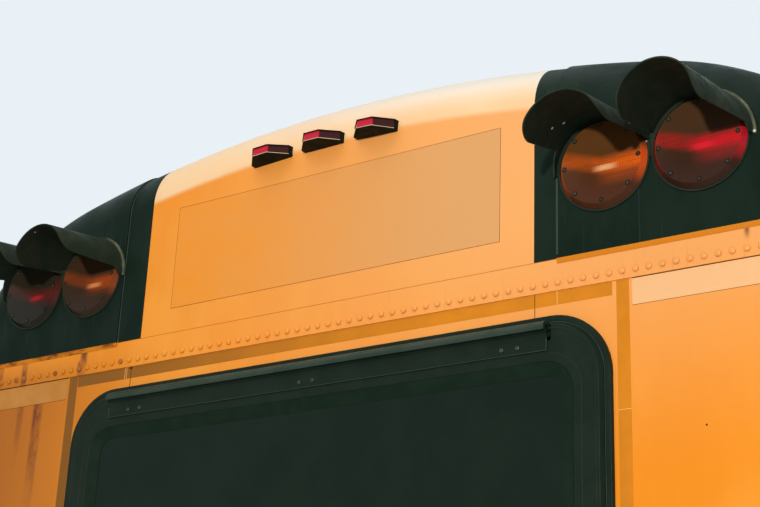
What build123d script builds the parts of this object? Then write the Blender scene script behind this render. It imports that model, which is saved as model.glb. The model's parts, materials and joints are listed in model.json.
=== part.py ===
"""Upper rear end of a rear-engined school bus body, with its warning lamps and push-out window.

X runs to the right as seen from behind the bus, Y runs forward and Z runs up. The rear face of
the middle roof cap lies on Y = 0, and the piece starts at Z = 0 where it joins the lower body.
"""
import os
from math import atan2, cos, degrees, hypot, radians, sin, sqrt

from build123d import *

os.makedirs("parts", exist_ok=True)

# Body section
HALF_WIDTH = 1219.0
BODY_DEPTH = 457.0
CREST_Z = 1467.0
CROWN_R = 3150.0
SHOULDER_R = 640.0
ROLL_R = 127.0
LINING_IN = 43.0
WALL_IN = 3.0
LAMP_CAP_OUT = 4.0

# Joints between the skin panels
LAMP_SEAM_IN = 98.0
WALL_SEAM_X = 499.0
RAIL_TOP_Z = 985.0
RAIL_LAP_Z = 955.0
RAIL_BOTTOM_Z = 925.0
LIP_DROP = 9.0
LIP_BEVEL_DEEP = 3.0
LIP_BEVEL_TALL = 8.0

# Belt rail along the foot of the walls
BELT_TALL = 100.0
BELT_BASE_OUT = 4.0
BELT_RIB_OUT = 12.0
BELT_RIB_TALL = 20.0

# Front bow
BOW_DEEP = 50.0
BOW_WIDE = 50.0
BOW_SHEET = 4.0
BOW_BOLT_R = 7.0
BOW_BOLT_LOW_Z = 100.0
BOW_BOLT_PITCH_Z = 400.0

# Warning lamps
RED_IN = 388.0
LAMP_PITCH = 186.0
LAMP_Z = 1149.0
LAMP_HOLE_R = 83.0
BOSS_R = 103.0
LENS_R = 87.5
LENS_FACE_R = 80.0
LENS_OUT = 13.0
LENS_EDGE = 2.0
LENS_WALL = 3.0
BUCKET_DEEP = 74.0
BUCKET_NECK_R = 24.0
BUCKET_BOWL_R = 66.0
BUCKET_BOWL_DEEP = 41.0
BUCKET_WALL = 2.5
BULB_R = 13.0
BULB_SEAT = 30.0

# Lamp hoods, each a tapered half-tube on a flange
FLANGE_R = 102.0
FLANGE_LOW_R = 91.0
FLANGE_FOOT_DROP = 6.0
FLANGE_THICK = 4.0
HOOD_TRIM_X = 92.5
HOOD_BASE_R = 97.0
HOOD_TIP_R = 78.0
HOOD_TIP_DROP = 3.0
HOOD_BENT_R = 70.0
HOOD_BENT_SHIFT = 9.0
HOOD_BENT_RISE = 19.0
HOOD_SHEET = 3.0
HOOD_LONG = 170.0
HOOD_COLLAR = 10.0
HOOD_TRIM_RISE = 27.0
HOOD_NOSE_ROUND = 33.0
HOOD_EDGES = (
    # side of the hood, height of its lower edge over the lamp's axis at the foot and at the nose
    (-1, 38.0, -3.0),
    (1, 8.0, 5.0),
)

# Marker lamps
MARKER_PITCH = 135.0
MARKER_HALF_LONG = 50.0
MARKER_FACE_HALF = 19.0
MARKER_OUT = 50.0
MARKER_END_OUT = 14.0
MARKER_PAD = 10.0
MARKER_SHELF = 2.5
MARKER_LENS_IN = 2.0
MARKER_DROP = 8.0
MARKER_RISE = 15.5
MARKER_DROP_RAKE = 0.06
MARKER_RISE_RAKE = 0.1
CLEARANCE_ANGLE = 60.0

# Emergency window
WINDOW_HALF_WIDTH = 653.0
WINDOW_TOP_Z = 878.0
WINDOW_TALL = 610.0
WINDOW_CORNER_R = 118.0
HOLE_IN = 5.0
RING_WIDE = 13.0
RING_OUT = 6.0
RING_ROUND = 3.0
SASH_GAP = 5.0
REBATE_WIDE = 22.0
REBATE_Y = 12.0
HEAD_DROP = 22.0
SEAL_GAP = 0.5
SEAL_WIDE = 12.0
SASH_BORDER = 52.0
SASH_FRONT_Y = -14.0
SASH_BACK_Y = 8.0
GLASS_THICK = 5.0
GLASS_BITE = 4.0
GLASS_BACK_Y = 2.0
SASH_CORNER_R = 55.0
SASH_EAR_THICK = 10.0
SASH_ROUND = 3.0

# Window hinge
HINGE_Y = -15.5
HINGE_DROP = 28.0
HINGE_R = 15.0
SOCKET_R = 9.0
BEAD_R = 6.5
LEAF_THICK = 3.0
LEAF_TALL = 20.0
LEAF_MARGIN = 20.0
HINGE_END_IN = 119.0
RAIL_TO_SASH = 5.0
HINGE_SLOT_BACK = 20.0
HINGE_SLOT_FRONT = 75.0

# Window latch
LATCH_HALF_LONG = 90.0
LATCH_BAR_R = 6.0
LATCH_BAR_Y = 34.0
LATCH_POST_X = 60.0
LATCH_RISE = 38.0
LATCH_BASE_TALL = 24.0

# Gas struts of the window
STRUT_IN = 54.0
STRUT_TOP_Y = 38.0
STRUT_TOP_DROP = 118.0
STRUT_FOOT_Y = 26.0
STRUT_FOOT_DROP = 428.0
STRUT_TUBE_R = 9.0
STRUT_ROD_R = 4.0
STRUT_TUBE_LONG = 215.0
STRUT_ROD_INSIDE = 95.0
STRUT_EYE_R = 9.0
STRUT_EYE_THICK = 9.0
STRUT_PIN_R = 4.0
STUD_LONG = 2.5
STUD_CLEAR = 0.5
LUG_THICK = 4.0
PIN_CLEAR = 0.3

# Inner header panel
HEADER_Y = 100.0
HEADER_SHEET = 3.0
HEADER_BOTTOM_Z = 990.0
COVER_WIDE = 400.0
COVER_TALL = 180.0
COVER_DROP = 25.0
COVER_SHEET = 3.0
COVER_CORNER_R = 12.0
COVER_KNOB_IN = 27.0
COVER_KNOB_R = 9.0
COVER_KNOB_OUT = 10.0

SPARE = 20.0
SIDES = (("left", -1), ("right", 1))

# Centres of the crown and shoulder arcs, and the angle from upright where they meet
CROWN_Z = CREST_Z - CROWN_R
SHOULDER_X = HALF_WIDTH - SHOULDER_R
SHOULDER_Z = CROWN_Z + sqrt((CROWN_R - SHOULDER_R) ** 2 - SHOULDER_X ** 2)
SHOULDER_ANGLE = atan2(SHOULDER_X, SHOULDER_Z - CROWN_Z)

RED_X = HALF_WIDTH - RED_IN
AMBER_X = RED_X - LAMP_PITCH
LAMP_SEAM_X = AMBER_X - LAMP_SEAM_IN

WINDOW_MID_Z = WINDOW_TOP_Z - WINDOW_TALL / 2
HINGE_HALF_LONG = WINDOW_HALF_WIDTH - HINGE_END_IN
STRUT_X = WINDOW_HALF_WIDTH - STRUT_IN
STRUT_TOP_Z = WINDOW_TOP_Z - STRUT_TOP_DROP
STRUT_FOOT_Z = WINDOW_TOP_Z - STRUT_FOOT_DROP
HINGE_Z = WINDOW_TOP_Z - HINGE_DROP
SASH_IN = RING_WIDE + SASH_GAP
SASH_TOP_Z = HINGE_Z - HINGE_R - RAIL_TO_SASH
FRAME_IN = SASH_IN + REBATE_WIDE


def on_shoulder(angle, radius):
    """Return X and Z at an angle from upright, at a radius from the shoulder's centre."""
    return SHOULDER_X + radius * sin(angle), SHOULDER_Z + radius * cos(angle)


def body_section(outset):
    """Return the body's cross-section, grown by outset."""
    shoulder_r = SHOULDER_R + outset
    high_x, high_z = on_shoulder(SHOULDER_ANGLE, shoulder_r)
    mid_x, mid_z = on_shoulder((SHOULDER_ANGLE + radians(90)) / 2, shoulder_r)
    side_x = HALF_WIDTH + outset
    with BuildSketch() as section:
        with BuildLine():
            ThreePointArc((-high_x, high_z), (0, CREST_Z + outset), (high_x, high_z))
            ThreePointArc((high_x, high_z), (mid_x, mid_z), (side_x, SHOULDER_Z))
            Polyline((side_x, SHOULDER_Z), (side_x, -SPARE), (-side_x, -SPARE), (-side_x, SHOULDER_Z))
            ThreePointArc((-side_x, SHOULDER_Z), (-mid_x, mid_z), (-high_x, high_z))
        make_face()
    return section.sketch


def body_form(outset):
    """Return the solid form of the body's rear end, its skin moved outward by outset."""
    with BuildPart() as form:
        with BuildSketch(Plane.XZ.offset(outset)):
            add(body_section(outset))
        extrude(amount=-(BODY_DEPTH + SPARE + outset))
        rear_edges = form.edges().group_by(Axis.Y)[0]
        fillet(rear_edges.sort_by(Axis.Z)[1:], radius=ROLL_R + outset)
    return form.part


LAMP_CAP_FORM = body_form(LAMP_CAP_OUT)
CAP_FORM = body_form(0.0)
WALL_FORM = body_form(-WALL_IN)
LINING_FORM = body_form(-LINING_IN)


def shell(outer, inner, x_span, z_span):
    """Return what lies between two body forms, within a span of X and a span of Z."""
    middle = (sum(x_span) / 2, (BODY_DEPTH - SPARE) / 2, sum(z_span) / 2)
    with BuildPart() as piece:
        add(outer)
        add(inner, mode=Mode.SUBTRACT)
        with Locations(middle):
            Box(x_span[1] - x_span[0], BODY_DEPTH + SPARE, z_span[1] - z_span[0], mode=Mode.INTERSECT)
    return piece.part


def window_plate(inset, front_y, back_y, top_z=None, corner_r=None):
    """Return a plate that fills the window's outline, less an inset, between two depths."""
    bottom_z = WINDOW_TOP_Z - WINDOW_TALL + inset
    head_z = WINDOW_TOP_Z - inset if top_z is None else top_z
    round_r = WINDOW_CORNER_R - inset if corner_r is None else corner_r
    with BuildPart() as plate:
        with BuildSketch(Plane.XZ.offset(-front_y)):
            with Locations((0, (bottom_z + head_z) / 2)):
                RectangleRounded(2 * (WINDOW_HALF_WIDTH - inset), head_z - bottom_z, round_r)
        extrude(amount=-(back_y - front_y))
    return plate.part


def save(name, builder):
    """Label a finished piece and write it to its own file."""
    builder.part.label = name
    export_step(builder.part, f"parts/{name}.step")


# Roof cap, its middle piece and the two lamp panels that lap over it
SIDE_X = HALF_WIDTH + SPARE
TOP_Z = CREST_Z + SPARE

with BuildPart() as cap_center:
    add(shell(CAP_FORM, LINING_FORM, (-LAMP_SEAM_X, LAMP_SEAM_X), (RAIL_TOP_Z, TOP_Z)))
save("cap_center", cap_center)

cap_wall = shell(LAMP_CAP_FORM, LINING_FORM, (LAMP_SEAM_X, SIDE_X), (RAIL_TOP_Z, TOP_Z))
lip_band = shell(LAMP_CAP_FORM, CAP_FORM, (LAMP_SEAM_X, SIDE_X), (RAIL_TOP_Z - LIP_DROP, RAIL_TOP_Z))
with BuildPart() as cap_lip:
    add(lip_band)
    lip_foot = cap_lip.faces().sort_by(Axis.Z)[0]
    lip_edges = [
        edge for edge in lip_foot.edges() if edge.length > SPARE and not CAP_FORM.is_inside(edge @ 0.5)
    ]
    chamfer(lip_edges, length=LIP_BEVEL_DEEP, length2=LIP_BEVEL_TALL, reference=lip_foot)

with BuildPart() as cap_right:
    add(cap_wall)
    add(cap_lip.part)
    with BuildSketch(Plane.XZ.offset(LAMP_CAP_OUT)):
        with Locations((RED_X, LAMP_Z)):
            Circle(BOSS_R)
    extrude(amount=-(LAMP_CAP_OUT + LINING_IN))
    with BuildSketch(Plane.XZ.offset(LAMP_CAP_OUT)):
        with Locations((AMBER_X, LAMP_Z), (RED_X, LAMP_Z)):
            Circle(LAMP_HOLE_R)
    extrude(amount=-ROLL_R, mode=Mode.SUBTRACT)

with BuildPart() as cap_left:
    mirror(cap_right.part, about=Plane.YZ)
save("cap_right", cap_right)
save("cap_left", cap_left)

# Rail with the riveted flange that laps over the walls
rail_bar = shell(CAP_FORM, LINING_FORM, (-SIDE_X, SIDE_X), (RAIL_LAP_Z, RAIL_TOP_Z))
rail_flange = shell(CAP_FORM, WALL_FORM, (-SIDE_X, SIDE_X), (RAIL_BOTTOM_Z, RAIL_LAP_Z))
with BuildPart() as flange_rail:
    add(rail_bar)
    add(rail_flange)
save("flange_rail", flange_rail)

# Walls around the window
WALL_PANELS = (
    # name, low and high X, low and high Z
    ("wall_left", -SIDE_X, -WALL_SEAM_X, 0.0, RAIL_LAP_Z),
    ("wall_right", WALL_SEAM_X, SIDE_X, 0.0, RAIL_LAP_Z),
    ("wall_header", -WALL_SEAM_X, WALL_SEAM_X, WINDOW_MID_Z, RAIL_LAP_Z),
    ("wall_sill", -WALL_SEAM_X, WALL_SEAM_X, 0.0, WINDOW_MID_Z),
)
for name, low_x, high_x, low_z, high_z in WALL_PANELS:
    panel = shell(WALL_FORM, LINING_FORM, (low_x, high_x), (low_z, high_z))
    with BuildPart() as wall:
        add(panel)
        add(window_plate(HOLE_IN, -SPARE, ROLL_R), mode=Mode.SUBTRACT)
    save(name, wall)

# Belt rail: a ribbed rubbing strip that follows the walls' foot round both corners
BELT_RIB_FORM = body_form(BELT_RIB_OUT)
BELT_BASE_FORM = body_form(BELT_BASE_OUT)
belt_base = shell(BELT_BASE_FORM, WALL_FORM, (-SIDE_X, SIDE_X), (0.0, BELT_TALL))
rib_gap = (BELT_TALL - 3 * BELT_RIB_TALL) / 2
ribs = [
    shell(BELT_RIB_FORM, BELT_BASE_FORM, (-SIDE_X, SIDE_X), (low_z, low_z + BELT_RIB_TALL))
    for low_z in (0.0, BELT_RIB_TALL + rib_gap, 2 * (BELT_RIB_TALL + rib_gap))
]
with BuildPart() as belt_rail:
    add(belt_base)
    add(ribs)
save("belt_rail", belt_rail)

# Front bow, a channel that follows the lining and bolts to the next body section
BOW_BACK_Y = BODY_DEPTH - BOW_DEEP
BOW_BOLT_X = HALF_WIDTH - LINING_IN - BOW_WIDE / 2

with BuildPart() as front_bow:
    for outer_in, inner_in, back_y in (
        (LINING_IN, LINING_IN + BOW_SHEET, BOW_BACK_Y),
        (LINING_IN + BOW_WIDE - BOW_SHEET, LINING_IN + BOW_WIDE, BOW_BACK_Y),
        (LINING_IN, LINING_IN + BOW_WIDE, BODY_DEPTH - BOW_SHEET),
    ):
        with BuildSketch(Plane.XZ.offset(-BODY_DEPTH)):
            add(body_section(-outer_in))
            add(body_section(-inner_in), mode=Mode.SUBTRACT)
        extrude(amount=BODY_DEPTH - back_y)
    with Locations((0, BODY_DEPTH, -SPARE / 2)):
        Box(2 * SIDE_X, 2 * BOW_DEEP + SPARE, SPARE, mode=Mode.SUBTRACT)
    with BuildSketch(Plane.XZ.offset(-BODY_DEPTH)):
        for _, side in SIDES:
            for bolt_z in (BOW_BOLT_LOW_Z, BOW_BOLT_LOW_Z + BOW_BOLT_PITCH_Z):
                with Locations((side * BOW_BOLT_X, bolt_z)):
                    Circle(BOW_BOLT_R)
    extrude(amount=BOW_SHEET, mode=Mode.SUBTRACT)
save("front_bow", front_bow)

# Inner header panel behind the lamps, with its two access covers
header_tall = TOP_Z - HEADER_BOTTOM_Z
with BuildPart() as header_panel:
    add(LINING_FORM)
    with Locations((0, LINING_IN, HEADER_BOTTOM_Z)):
        Box(
            2 * SIDE_X,
            HEADER_Y + HEADER_SHEET - LINING_IN,
            header_tall,
            align=(Align.CENTER, Align.MIN, Align.MIN),
            mode=Mode.INTERSECT,
        )
    with Locations((0, LINING_IN, HEADER_BOTTOM_Z + HEADER_SHEET)):
        Box(
            2 * SIDE_X,
            HEADER_Y - LINING_IN,
            header_tall,
            align=(Align.CENTER, Align.MIN, Align.MIN),
            mode=Mode.SUBTRACT,
        )
save("header_panel", header_panel)

with BuildPart() as access_covers:
    cover_y = HEADER_Y + HEADER_SHEET
    for _, side in SIDES:
        cover_x = side * (AMBER_X + RED_X) / 2
        with BuildSketch(Plane.XZ.offset(-cover_y)):
            with Locations((cover_x, LAMP_Z - COVER_DROP)):
                RectangleRounded(COVER_WIDE, COVER_TALL, COVER_CORNER_R)
        extrude(amount=-COVER_SHEET)
        with BuildSketch(Plane.XZ.offset(-cover_y - COVER_SHEET)):
            with Locations((cover_x, LAMP_Z - COVER_DROP)):
                with GridLocations(COVER_WIDE - 2 * COVER_KNOB_IN, COVER_TALL - 2 * COVER_KNOB_IN, 2, 2):
                    Circle(COVER_KNOB_R)
        extrude(amount=-COVER_KNOB_OUT)
save("access_covers", access_covers)

# Warning lamps: bucket with bulb, lens and hood, each turned about the lamp's own axis
PANEL_Y = -LAMP_CAP_OUT
FLANGE_Y = PANEL_Y - FLANGE_THICK
LENS_FACE_Y = PANEL_Y - LENS_OUT
LENS_EDGE_Y = PANEL_Y - LENS_EDGE
BUCKET_BACK_Y = PANEL_Y + BUCKET_DEEP
BUCKET_FLOOR_Y = BUCKET_BACK_Y - BUCKET_WALL

LAMPS = (
    # name, place along X, side on which its neighbour stands, centre and radius of the hood's tip
    ("left_red", -RED_X, 1, (0, -HOOD_TIP_DROP), HOOD_TIP_R),
    ("left_amber", -AMBER_X, -1, (0, -HOOD_TIP_DROP), HOOD_TIP_R),
    ("right_amber", AMBER_X, 1, (0, -HOOD_TIP_DROP), HOOD_TIP_R),
    ("right_red", RED_X, -1, (-HOOD_BENT_SHIFT, HOOD_BENT_RISE), HOOD_BENT_R),
)


def lamp_bucket():
    """Return the reflector bucket and its bulb, on the lamp's axis at X = 0 and Z = 0."""
    bowl_y = PANEL_Y + BUCKET_BOWL_DEEP
    with BuildPart() as bucket:
        with BuildSketch(Plane.XY):
            with BuildLine():
                outer_bowl = ThreePointArc(
                    (LAMP_HOLE_R, PANEL_Y), (BUCKET_BOWL_R, bowl_y), (BUCKET_NECK_R, BUCKET_BACK_Y)
                )
                floor = Polyline(
                    outer_bowl @ 1, (0, BUCKET_BACK_Y), (0, BUCKET_FLOOR_Y), (BUCKET_NECK_R, BUCKET_FLOOR_Y)
                )
                inner_bowl = ThreePointArc(
                    floor @ 1,
                    (BUCKET_BOWL_R - BUCKET_WALL, bowl_y - BUCKET_WALL),
                    (LAMP_HOLE_R - BUCKET_WALL, PANEL_Y),
                )
                Line(inner_bowl @ 1, outer_bowl @ 0)
            make_face()
        revolve(axis=Axis.Y)
        with BuildSketch(Plane.XZ.offset(-BUCKET_FLOOR_Y)):
            Circle(BULB_R)
        extrude(amount=BULB_SEAT)
        with Locations((0, BUCKET_FLOOR_Y - BULB_SEAT, 0)):
            Sphere(BULB_R)
    return bucket.part


def lamp_lens():
    """Return the lens, a shallow cup that is hollow from behind, on the lamp's axis."""
    with BuildPart() as lens:
        with BuildSketch(Plane.XY):
            Polygon(
                (0, LENS_FACE_Y),
                (LENS_FACE_R, LENS_FACE_Y),
                (LENS_R, LENS_EDGE_Y),
                (LENS_R, PANEL_Y),
                (LENS_R - LENS_WALL, PANEL_Y),
                (LENS_FACE_R - LENS_WALL, LENS_FACE_Y + LENS_WALL),
                (0, LENS_FACE_Y + LENS_WALL),
                align=None,
            )
        revolve(axis=Axis.Y)
    return lens.part


def lamp_hood(neighbour, tip_centre, tip_r):
    """Return the hood: a flange on the panel and a tapered visor that is open below."""
    tip_y = FLANGE_Y - HOOD_LONG
    collar_y = FLANGE_Y - HOOD_COLLAR
    above_z = HOOD_BASE_R + SPARE
    with BuildPart() as hood:
        for inset, mode in ((0, Mode.ADD), (HOOD_SHEET, Mode.SUBTRACT)):
            with BuildSketch(Plane.XZ.offset(-FLANGE_Y)):
                Circle(HOOD_BASE_R - inset)
            with BuildSketch(Plane.XZ.offset(-tip_y)):
                with Locations(tip_centre):
                    Circle(tip_r - inset)
            loft(mode=mode)
        for side, foot_rise, nose_rise in HOOD_EDGES:
            edge_foot = max(foot_rise, HOOD_TRIM_RISE) if side == neighbour else foot_rise
            collar_z = edge_foot if side == neighbour else -FLANGE_FOOT_DROP
            with BuildSketch(Plane.YZ):
                with BuildLine():
                    edge = FilletPolyline(
                        (collar_y - HOOD_COLLAR, edge_foot),
                        (tip_y, nose_rise),
                        (tip_y, above_z),
                        radius=HOOD_NOSE_ROUND,
                    )
                    Polyline(
                        edge @ 1,
                        (tip_y - SPARE, above_z),
                        (tip_y - SPARE, -above_z),
                        (FLANGE_Y, -above_z),
                        (FLANGE_Y, collar_z),
                        (collar_y, collar_z),
                        edge @ 0,
                    )
                make_face()
            extrude(amount=side * above_z, mode=Mode.SUBTRACT)
        with BuildSketch(Plane.YZ.offset(neighbour * HOOD_TRIM_X)):
            with Locations((FLANGE_Y, 0)):
                Rectangle(2 * HOOD_LONG, 2 * above_z)
        extrude(amount=neighbour * HOOD_LONG, mode=Mode.SUBTRACT)
        with BuildSketch(Plane.XZ.offset(-PANEL_Y)):
            Circle(FLANGE_R)
            with Locations((-neighbour * (FLANGE_R - HOOD_TRIM_X), FLANGE_R - FLANGE_FOOT_DROP)):
                Rectangle(2 * FLANGE_R, 2 * FLANGE_R, mode=Mode.INTERSECT)
            Circle(FLANGE_LOW_R)
            Circle(LENS_R, mode=Mode.SUBTRACT)
        extrude(amount=FLANGE_THICK)
    return hood.part


for lamp_name, lamp_x, neighbour, tip_centre, tip_r in LAMPS:
    for piece_name, piece in (
        ("bucket", lamp_bucket()),
        ("lens", lamp_lens()),
        ("hood", lamp_hood(neighbour, tip_centre, tip_r)),
    ):
        with BuildPart() as lamp_piece:
            add(piece.moved(Location((lamp_x, 0, LAMP_Z))))
        save(f"{lamp_name}_{piece_name}", lamp_piece)

# Marker lamps: three at the crest and one on each shoulder, their places as angles from upright
CROWN_MARKER_ANGLE = degrees(MARKER_PITCH / (CROWN_R - ROLL_R))
MARKERS = (
    # name, angle from upright, whether it sits on the shoulder arc, form that it is seated on
    ("id_lamp_left", -CROWN_MARKER_ANGLE, False, CAP_FORM),
    ("id_lamp_center", 0.0, False, CAP_FORM),
    ("id_lamp_right", CROWN_MARKER_ANGLE, False, CAP_FORM),
    ("clearance_lamp_left", -CLEARANCE_ANGLE, True, LAMP_CAP_FORM),
    ("clearance_lamp_right", CLEARANCE_ANGLE, True, LAMP_CAP_FORM),
)


def marker_plane(angle, on_side):
    """Return the plane across the middle of a marker lamp, its origin at the start of the roll."""
    turn = radians(angle)
    if on_side:
        origin_x, origin_z = on_shoulder(abs(turn), SHOULDER_R - ROLL_R)
        origin_x = origin_x if turn > 0 else -origin_x
    else:
        origin_x = (CROWN_R - ROLL_R) * sin(turn)
        origin_z = CROWN_Z + (CROWN_R - ROLL_R) * cos(turn)
    along = Vector(cos(turn), 0, -sin(turn))
    return Plane(origin=(origin_x, 0, origin_z), x_dir=(0, 1, 0), z_dir=along)


def marker_section(front_y, back_y, inset):
    """Return the corners of a marker lamp's raked section, its foot and head moved in by inset."""
    return [
        (y, height)
        for y in (front_y, back_y)
        for height in (MARKER_RISE + MARKER_RISE_RAKE * y - inset, inset - MARKER_DROP + MARKER_DROP_RAKE * y)
    ]


def marker_block(across, corners, inset):
    """Return a section swept along a marker lamp, its ends slanted back from a narrow face."""
    long, face, out = MARKER_HALF_LONG - inset, MARKER_FACE_HALF - inset / 2, MARKER_OUT - inset
    plan = Plane(origin=across.origin, x_dir=across.z_dir, z_dir=across.y_dir)
    front_high, front_low, back_high, back_low = corners
    with BuildPart() as block:
        with BuildSketch(across.offset(-MARKER_HALF_LONG)):
            Polygon(front_high, front_low, back_low, back_high, align=None)
        extrude(amount=2 * MARKER_HALF_LONG)
        with BuildSketch(plan):
            Polygon(
                (-long, SPARE),
                (-long, -MARKER_END_OUT),
                (-face, -out),
                (face, -out),
                (long, -MARKER_END_OUT),
                (long, SPARE),
                align=None,
            )
        extrude(amount=SPARE, both=True, mode=Mode.INTERSECT)
    return block.part


for marker_name, angle, on_side, seat in MARKERS:
    across = marker_plane(angle, on_side)
    pocket = marker_section(-MARKER_OUT - SPARE, -MARKER_PAD, MARKER_SHELF)
    front_high, front_low, back_high, back_low = pocket
    with BuildPart() as marker_base:
        add(marker_block(across, marker_section(-MARKER_OUT, SPARE, 0), 0))
        with BuildSketch(across.offset(-MARKER_HALF_LONG)):
            Polygon(front_high, front_low, back_low, back_high, align=None)
        extrude(amount=2 * MARKER_HALF_LONG, mode=Mode.SUBTRACT)
        add(seat, mode=Mode.SUBTRACT)
    save(f"{marker_name}_base", marker_base)
    with BuildPart() as marker_lens:
        add(marker_block(across, pocket, MARKER_LENS_IN))
    save(f"{marker_name}_lens", marker_lens)

# Fixed window frame with its rubber seal
FRAME_HEAD_Z = WINDOW_TOP_Z - FRAME_IN - HEAD_DROP

with BuildPart() as window_frame:
    add(window_plate(0.0, -RING_OUT, WALL_IN))
    add(window_plate(HOLE_IN, WALL_IN, LINING_IN))
    add(window_plate(RING_WIDE, -RING_OUT, REBATE_Y), mode=Mode.SUBTRACT)
    add(window_plate(FRAME_IN, REBATE_Y, LINING_IN, top_z=FRAME_HEAD_Z), mode=Mode.SUBTRACT)
    fillet(window_frame.faces().sort_by(Axis.Y)[0].edges(), radius=RING_ROUND)
    for _, side in SIDES:
        with BuildSketch(Plane.YZ.offset(side * (WINDOW_HALF_WIDTH - FRAME_IN))):
            with Locations((STRUT_TOP_Y, STRUT_TOP_Z)):
                Circle(STRUT_PIN_R)
        extrude(amount=-side * (WINDOW_HALF_WIDTH - FRAME_IN - STRUT_X + STRUT_EYE_THICK))
save("window_frame", window_frame)

SEAL_IN = SASH_IN + (REBATE_WIDE - SEAL_WIDE) / 2
SEAL_FRONT_Y = SASH_BACK_Y + SEAL_GAP

with BuildPart() as window_seal:
    add(window_plate(SEAL_IN, SEAL_FRONT_Y, REBATE_Y, FRAME_HEAD_Z + SEAL_WIDE))
    add(window_plate(SEAL_IN + SEAL_WIDE, SEAL_FRONT_Y, REBATE_Y, FRAME_HEAD_Z), mode=Mode.SUBTRACT)
save("window_seal", window_seal)

# Hinge rail: a socket over the sash's bead, open where the leaf's neck swings
with BuildPart() as hinge_rail:
    with BuildSketch(Plane.YZ.offset(-HINGE_HALF_LONG)) as rail_section:
        with Locations((HINGE_Y, HINGE_Z)):
            Circle(HINGE_R)
        bar_depth = REBATE_Y - HINGE_Y
        bar_tall = WINDOW_TOP_Z - RING_WIDE - HINGE_Z
        with Locations((HINGE_Y + bar_depth / 2, HINGE_Z + bar_tall / 2)):
            Rectangle(bar_depth, bar_tall)
        with Locations((HINGE_Y, HINGE_Z)):
            Circle(SOCKET_R, mode=Mode.SUBTRACT)
        with BuildLine():
            reach = 2 * HINGE_R
            back_ray = PolarLine((HINGE_Y, HINGE_Z), reach, -90 + HINGE_SLOT_BACK)
            front_ray = PolarLine((HINGE_Y, HINGE_Z), reach, -90 - HINGE_SLOT_FRONT)
            down_ray = PolarLine((HINGE_Y, HINGE_Z), reach, -90, mode=Mode.PRIVATE)
            Polyline(back_ray @ 1, down_ray @ 1, front_ray @ 1)
        make_face(mode=Mode.SUBTRACT)
    extrude(amount=2 * HINGE_HALF_LONG)
save("hinge_rail", hinge_rail)

# Moving sash with its hinge leaf, glass and latch
SASH_BOTTOM_Z = WINDOW_TOP_Z - WINDOW_TALL + SASH_IN
GLASS_IN = SASH_IN + SASH_BORDER
GLASS_TOP_Z = SASH_TOP_Z - LEAF_TALL - LEAF_MARGIN
GLASS_FRONT_Y = GLASS_BACK_Y - GLASS_THICK

SASH_SPACE = window_plate(GLASS_IN, SASH_FRONT_Y, SASH_BACK_Y, GLASS_TOP_Z, SASH_CORNER_R)


def glass_plate(back_y):
    """Return a plate of the glass's outline, from its front face to a depth."""
    corner_r = SASH_CORNER_R + GLASS_BITE
    return window_plate(GLASS_IN - GLASS_BITE, GLASS_FRONT_Y, back_y, GLASS_TOP_Z + GLASS_BITE, corner_r)


with BuildPart() as sash:
    add(window_plate(SASH_IN, SASH_FRONT_Y, SASH_BACK_Y))
    for half_wide, from_y in (
        (HINGE_HALF_LONG + RAIL_TO_SASH, SASH_FRONT_Y),
        (WINDOW_HALF_WIDTH, SASH_FRONT_Y + SASH_EAR_THICK),
    ):
        with Locations((0, from_y, SASH_TOP_Z)):
            Box(
                2 * half_wide,
                SASH_BACK_Y - from_y,
                WINDOW_TALL,
                align=(Align.CENTER, Align.MIN, Align.MIN),
                mode=Mode.SUBTRACT,
            )
    add(SASH_SPACE, mode=Mode.SUBTRACT)
    fillet(sash.faces().sort_by(Axis.Y)[0].edges(), radius=SASH_ROUND)
    add(glass_plate(SASH_BACK_Y), mode=Mode.SUBTRACT)
    for _, side in SIDES:
        lug_x = side * (STRUT_X - STRUT_EYE_THICK / 2 - STUD_LONG - LUG_THICK)
        with BuildSketch(Plane.YZ.offset(lug_x)):
            with Locations(((SASH_FRONT_Y + STRUT_FOOT_Y) / 2, STRUT_FOOT_Z)):
                Rectangle(STRUT_FOOT_Y - SASH_FRONT_Y, 2 * STRUT_EYE_R)
            with Locations((STRUT_FOOT_Y, STRUT_FOOT_Z)):
                Circle(STRUT_EYE_R)
        extrude(amount=side * LUG_THICK)
save("sash", sash)

with BuildPart() as window_glass:
    add(glass_plate(GLASS_BACK_Y))
save("window_glass", window_glass)

with BuildPart() as hinge_leaf:
    with BuildSketch(Plane.YZ.offset(-HINGE_HALF_LONG)):
        leaf_bottom_z = SASH_TOP_Z - LEAF_TALL
        with Locations((HINGE_Y, HINGE_Z)):
            Circle(BEAD_R)
        with Locations((HINGE_Y, (leaf_bottom_z + HINGE_Z) / 2)):
            Rectangle(LEAF_THICK, HINGE_Z - leaf_bottom_z)
    extrude(amount=2 * HINGE_HALF_LONG)
save("hinge_leaf", hinge_leaf)

LATCH_Z = SASH_BOTTOM_Z + LATCH_RISE

with BuildPart() as latch_handle:
    with Locations((0, SASH_BACK_Y + LATCH_BAR_R / 2, LATCH_Z)):
        Box(2 * LATCH_POST_X + LATCH_BASE_TALL, LATCH_BAR_R, LATCH_BASE_TALL)
    with BuildSketch(Plane.XZ.offset(-SASH_BACK_Y)):
        with Locations((-LATCH_POST_X, LATCH_Z), (LATCH_POST_X, LATCH_Z)):
            Circle(LATCH_BAR_R)
    extrude(amount=-(LATCH_BAR_Y - SASH_BACK_Y))
    with BuildSketch(Plane.YZ.offset(-LATCH_HALF_LONG)):
        with Locations((LATCH_BAR_Y, LATCH_Z)):
            Circle(LATCH_BAR_R)
    extrude(amount=2 * LATCH_HALF_LONG)
save("latch_handle", latch_handle)

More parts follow.
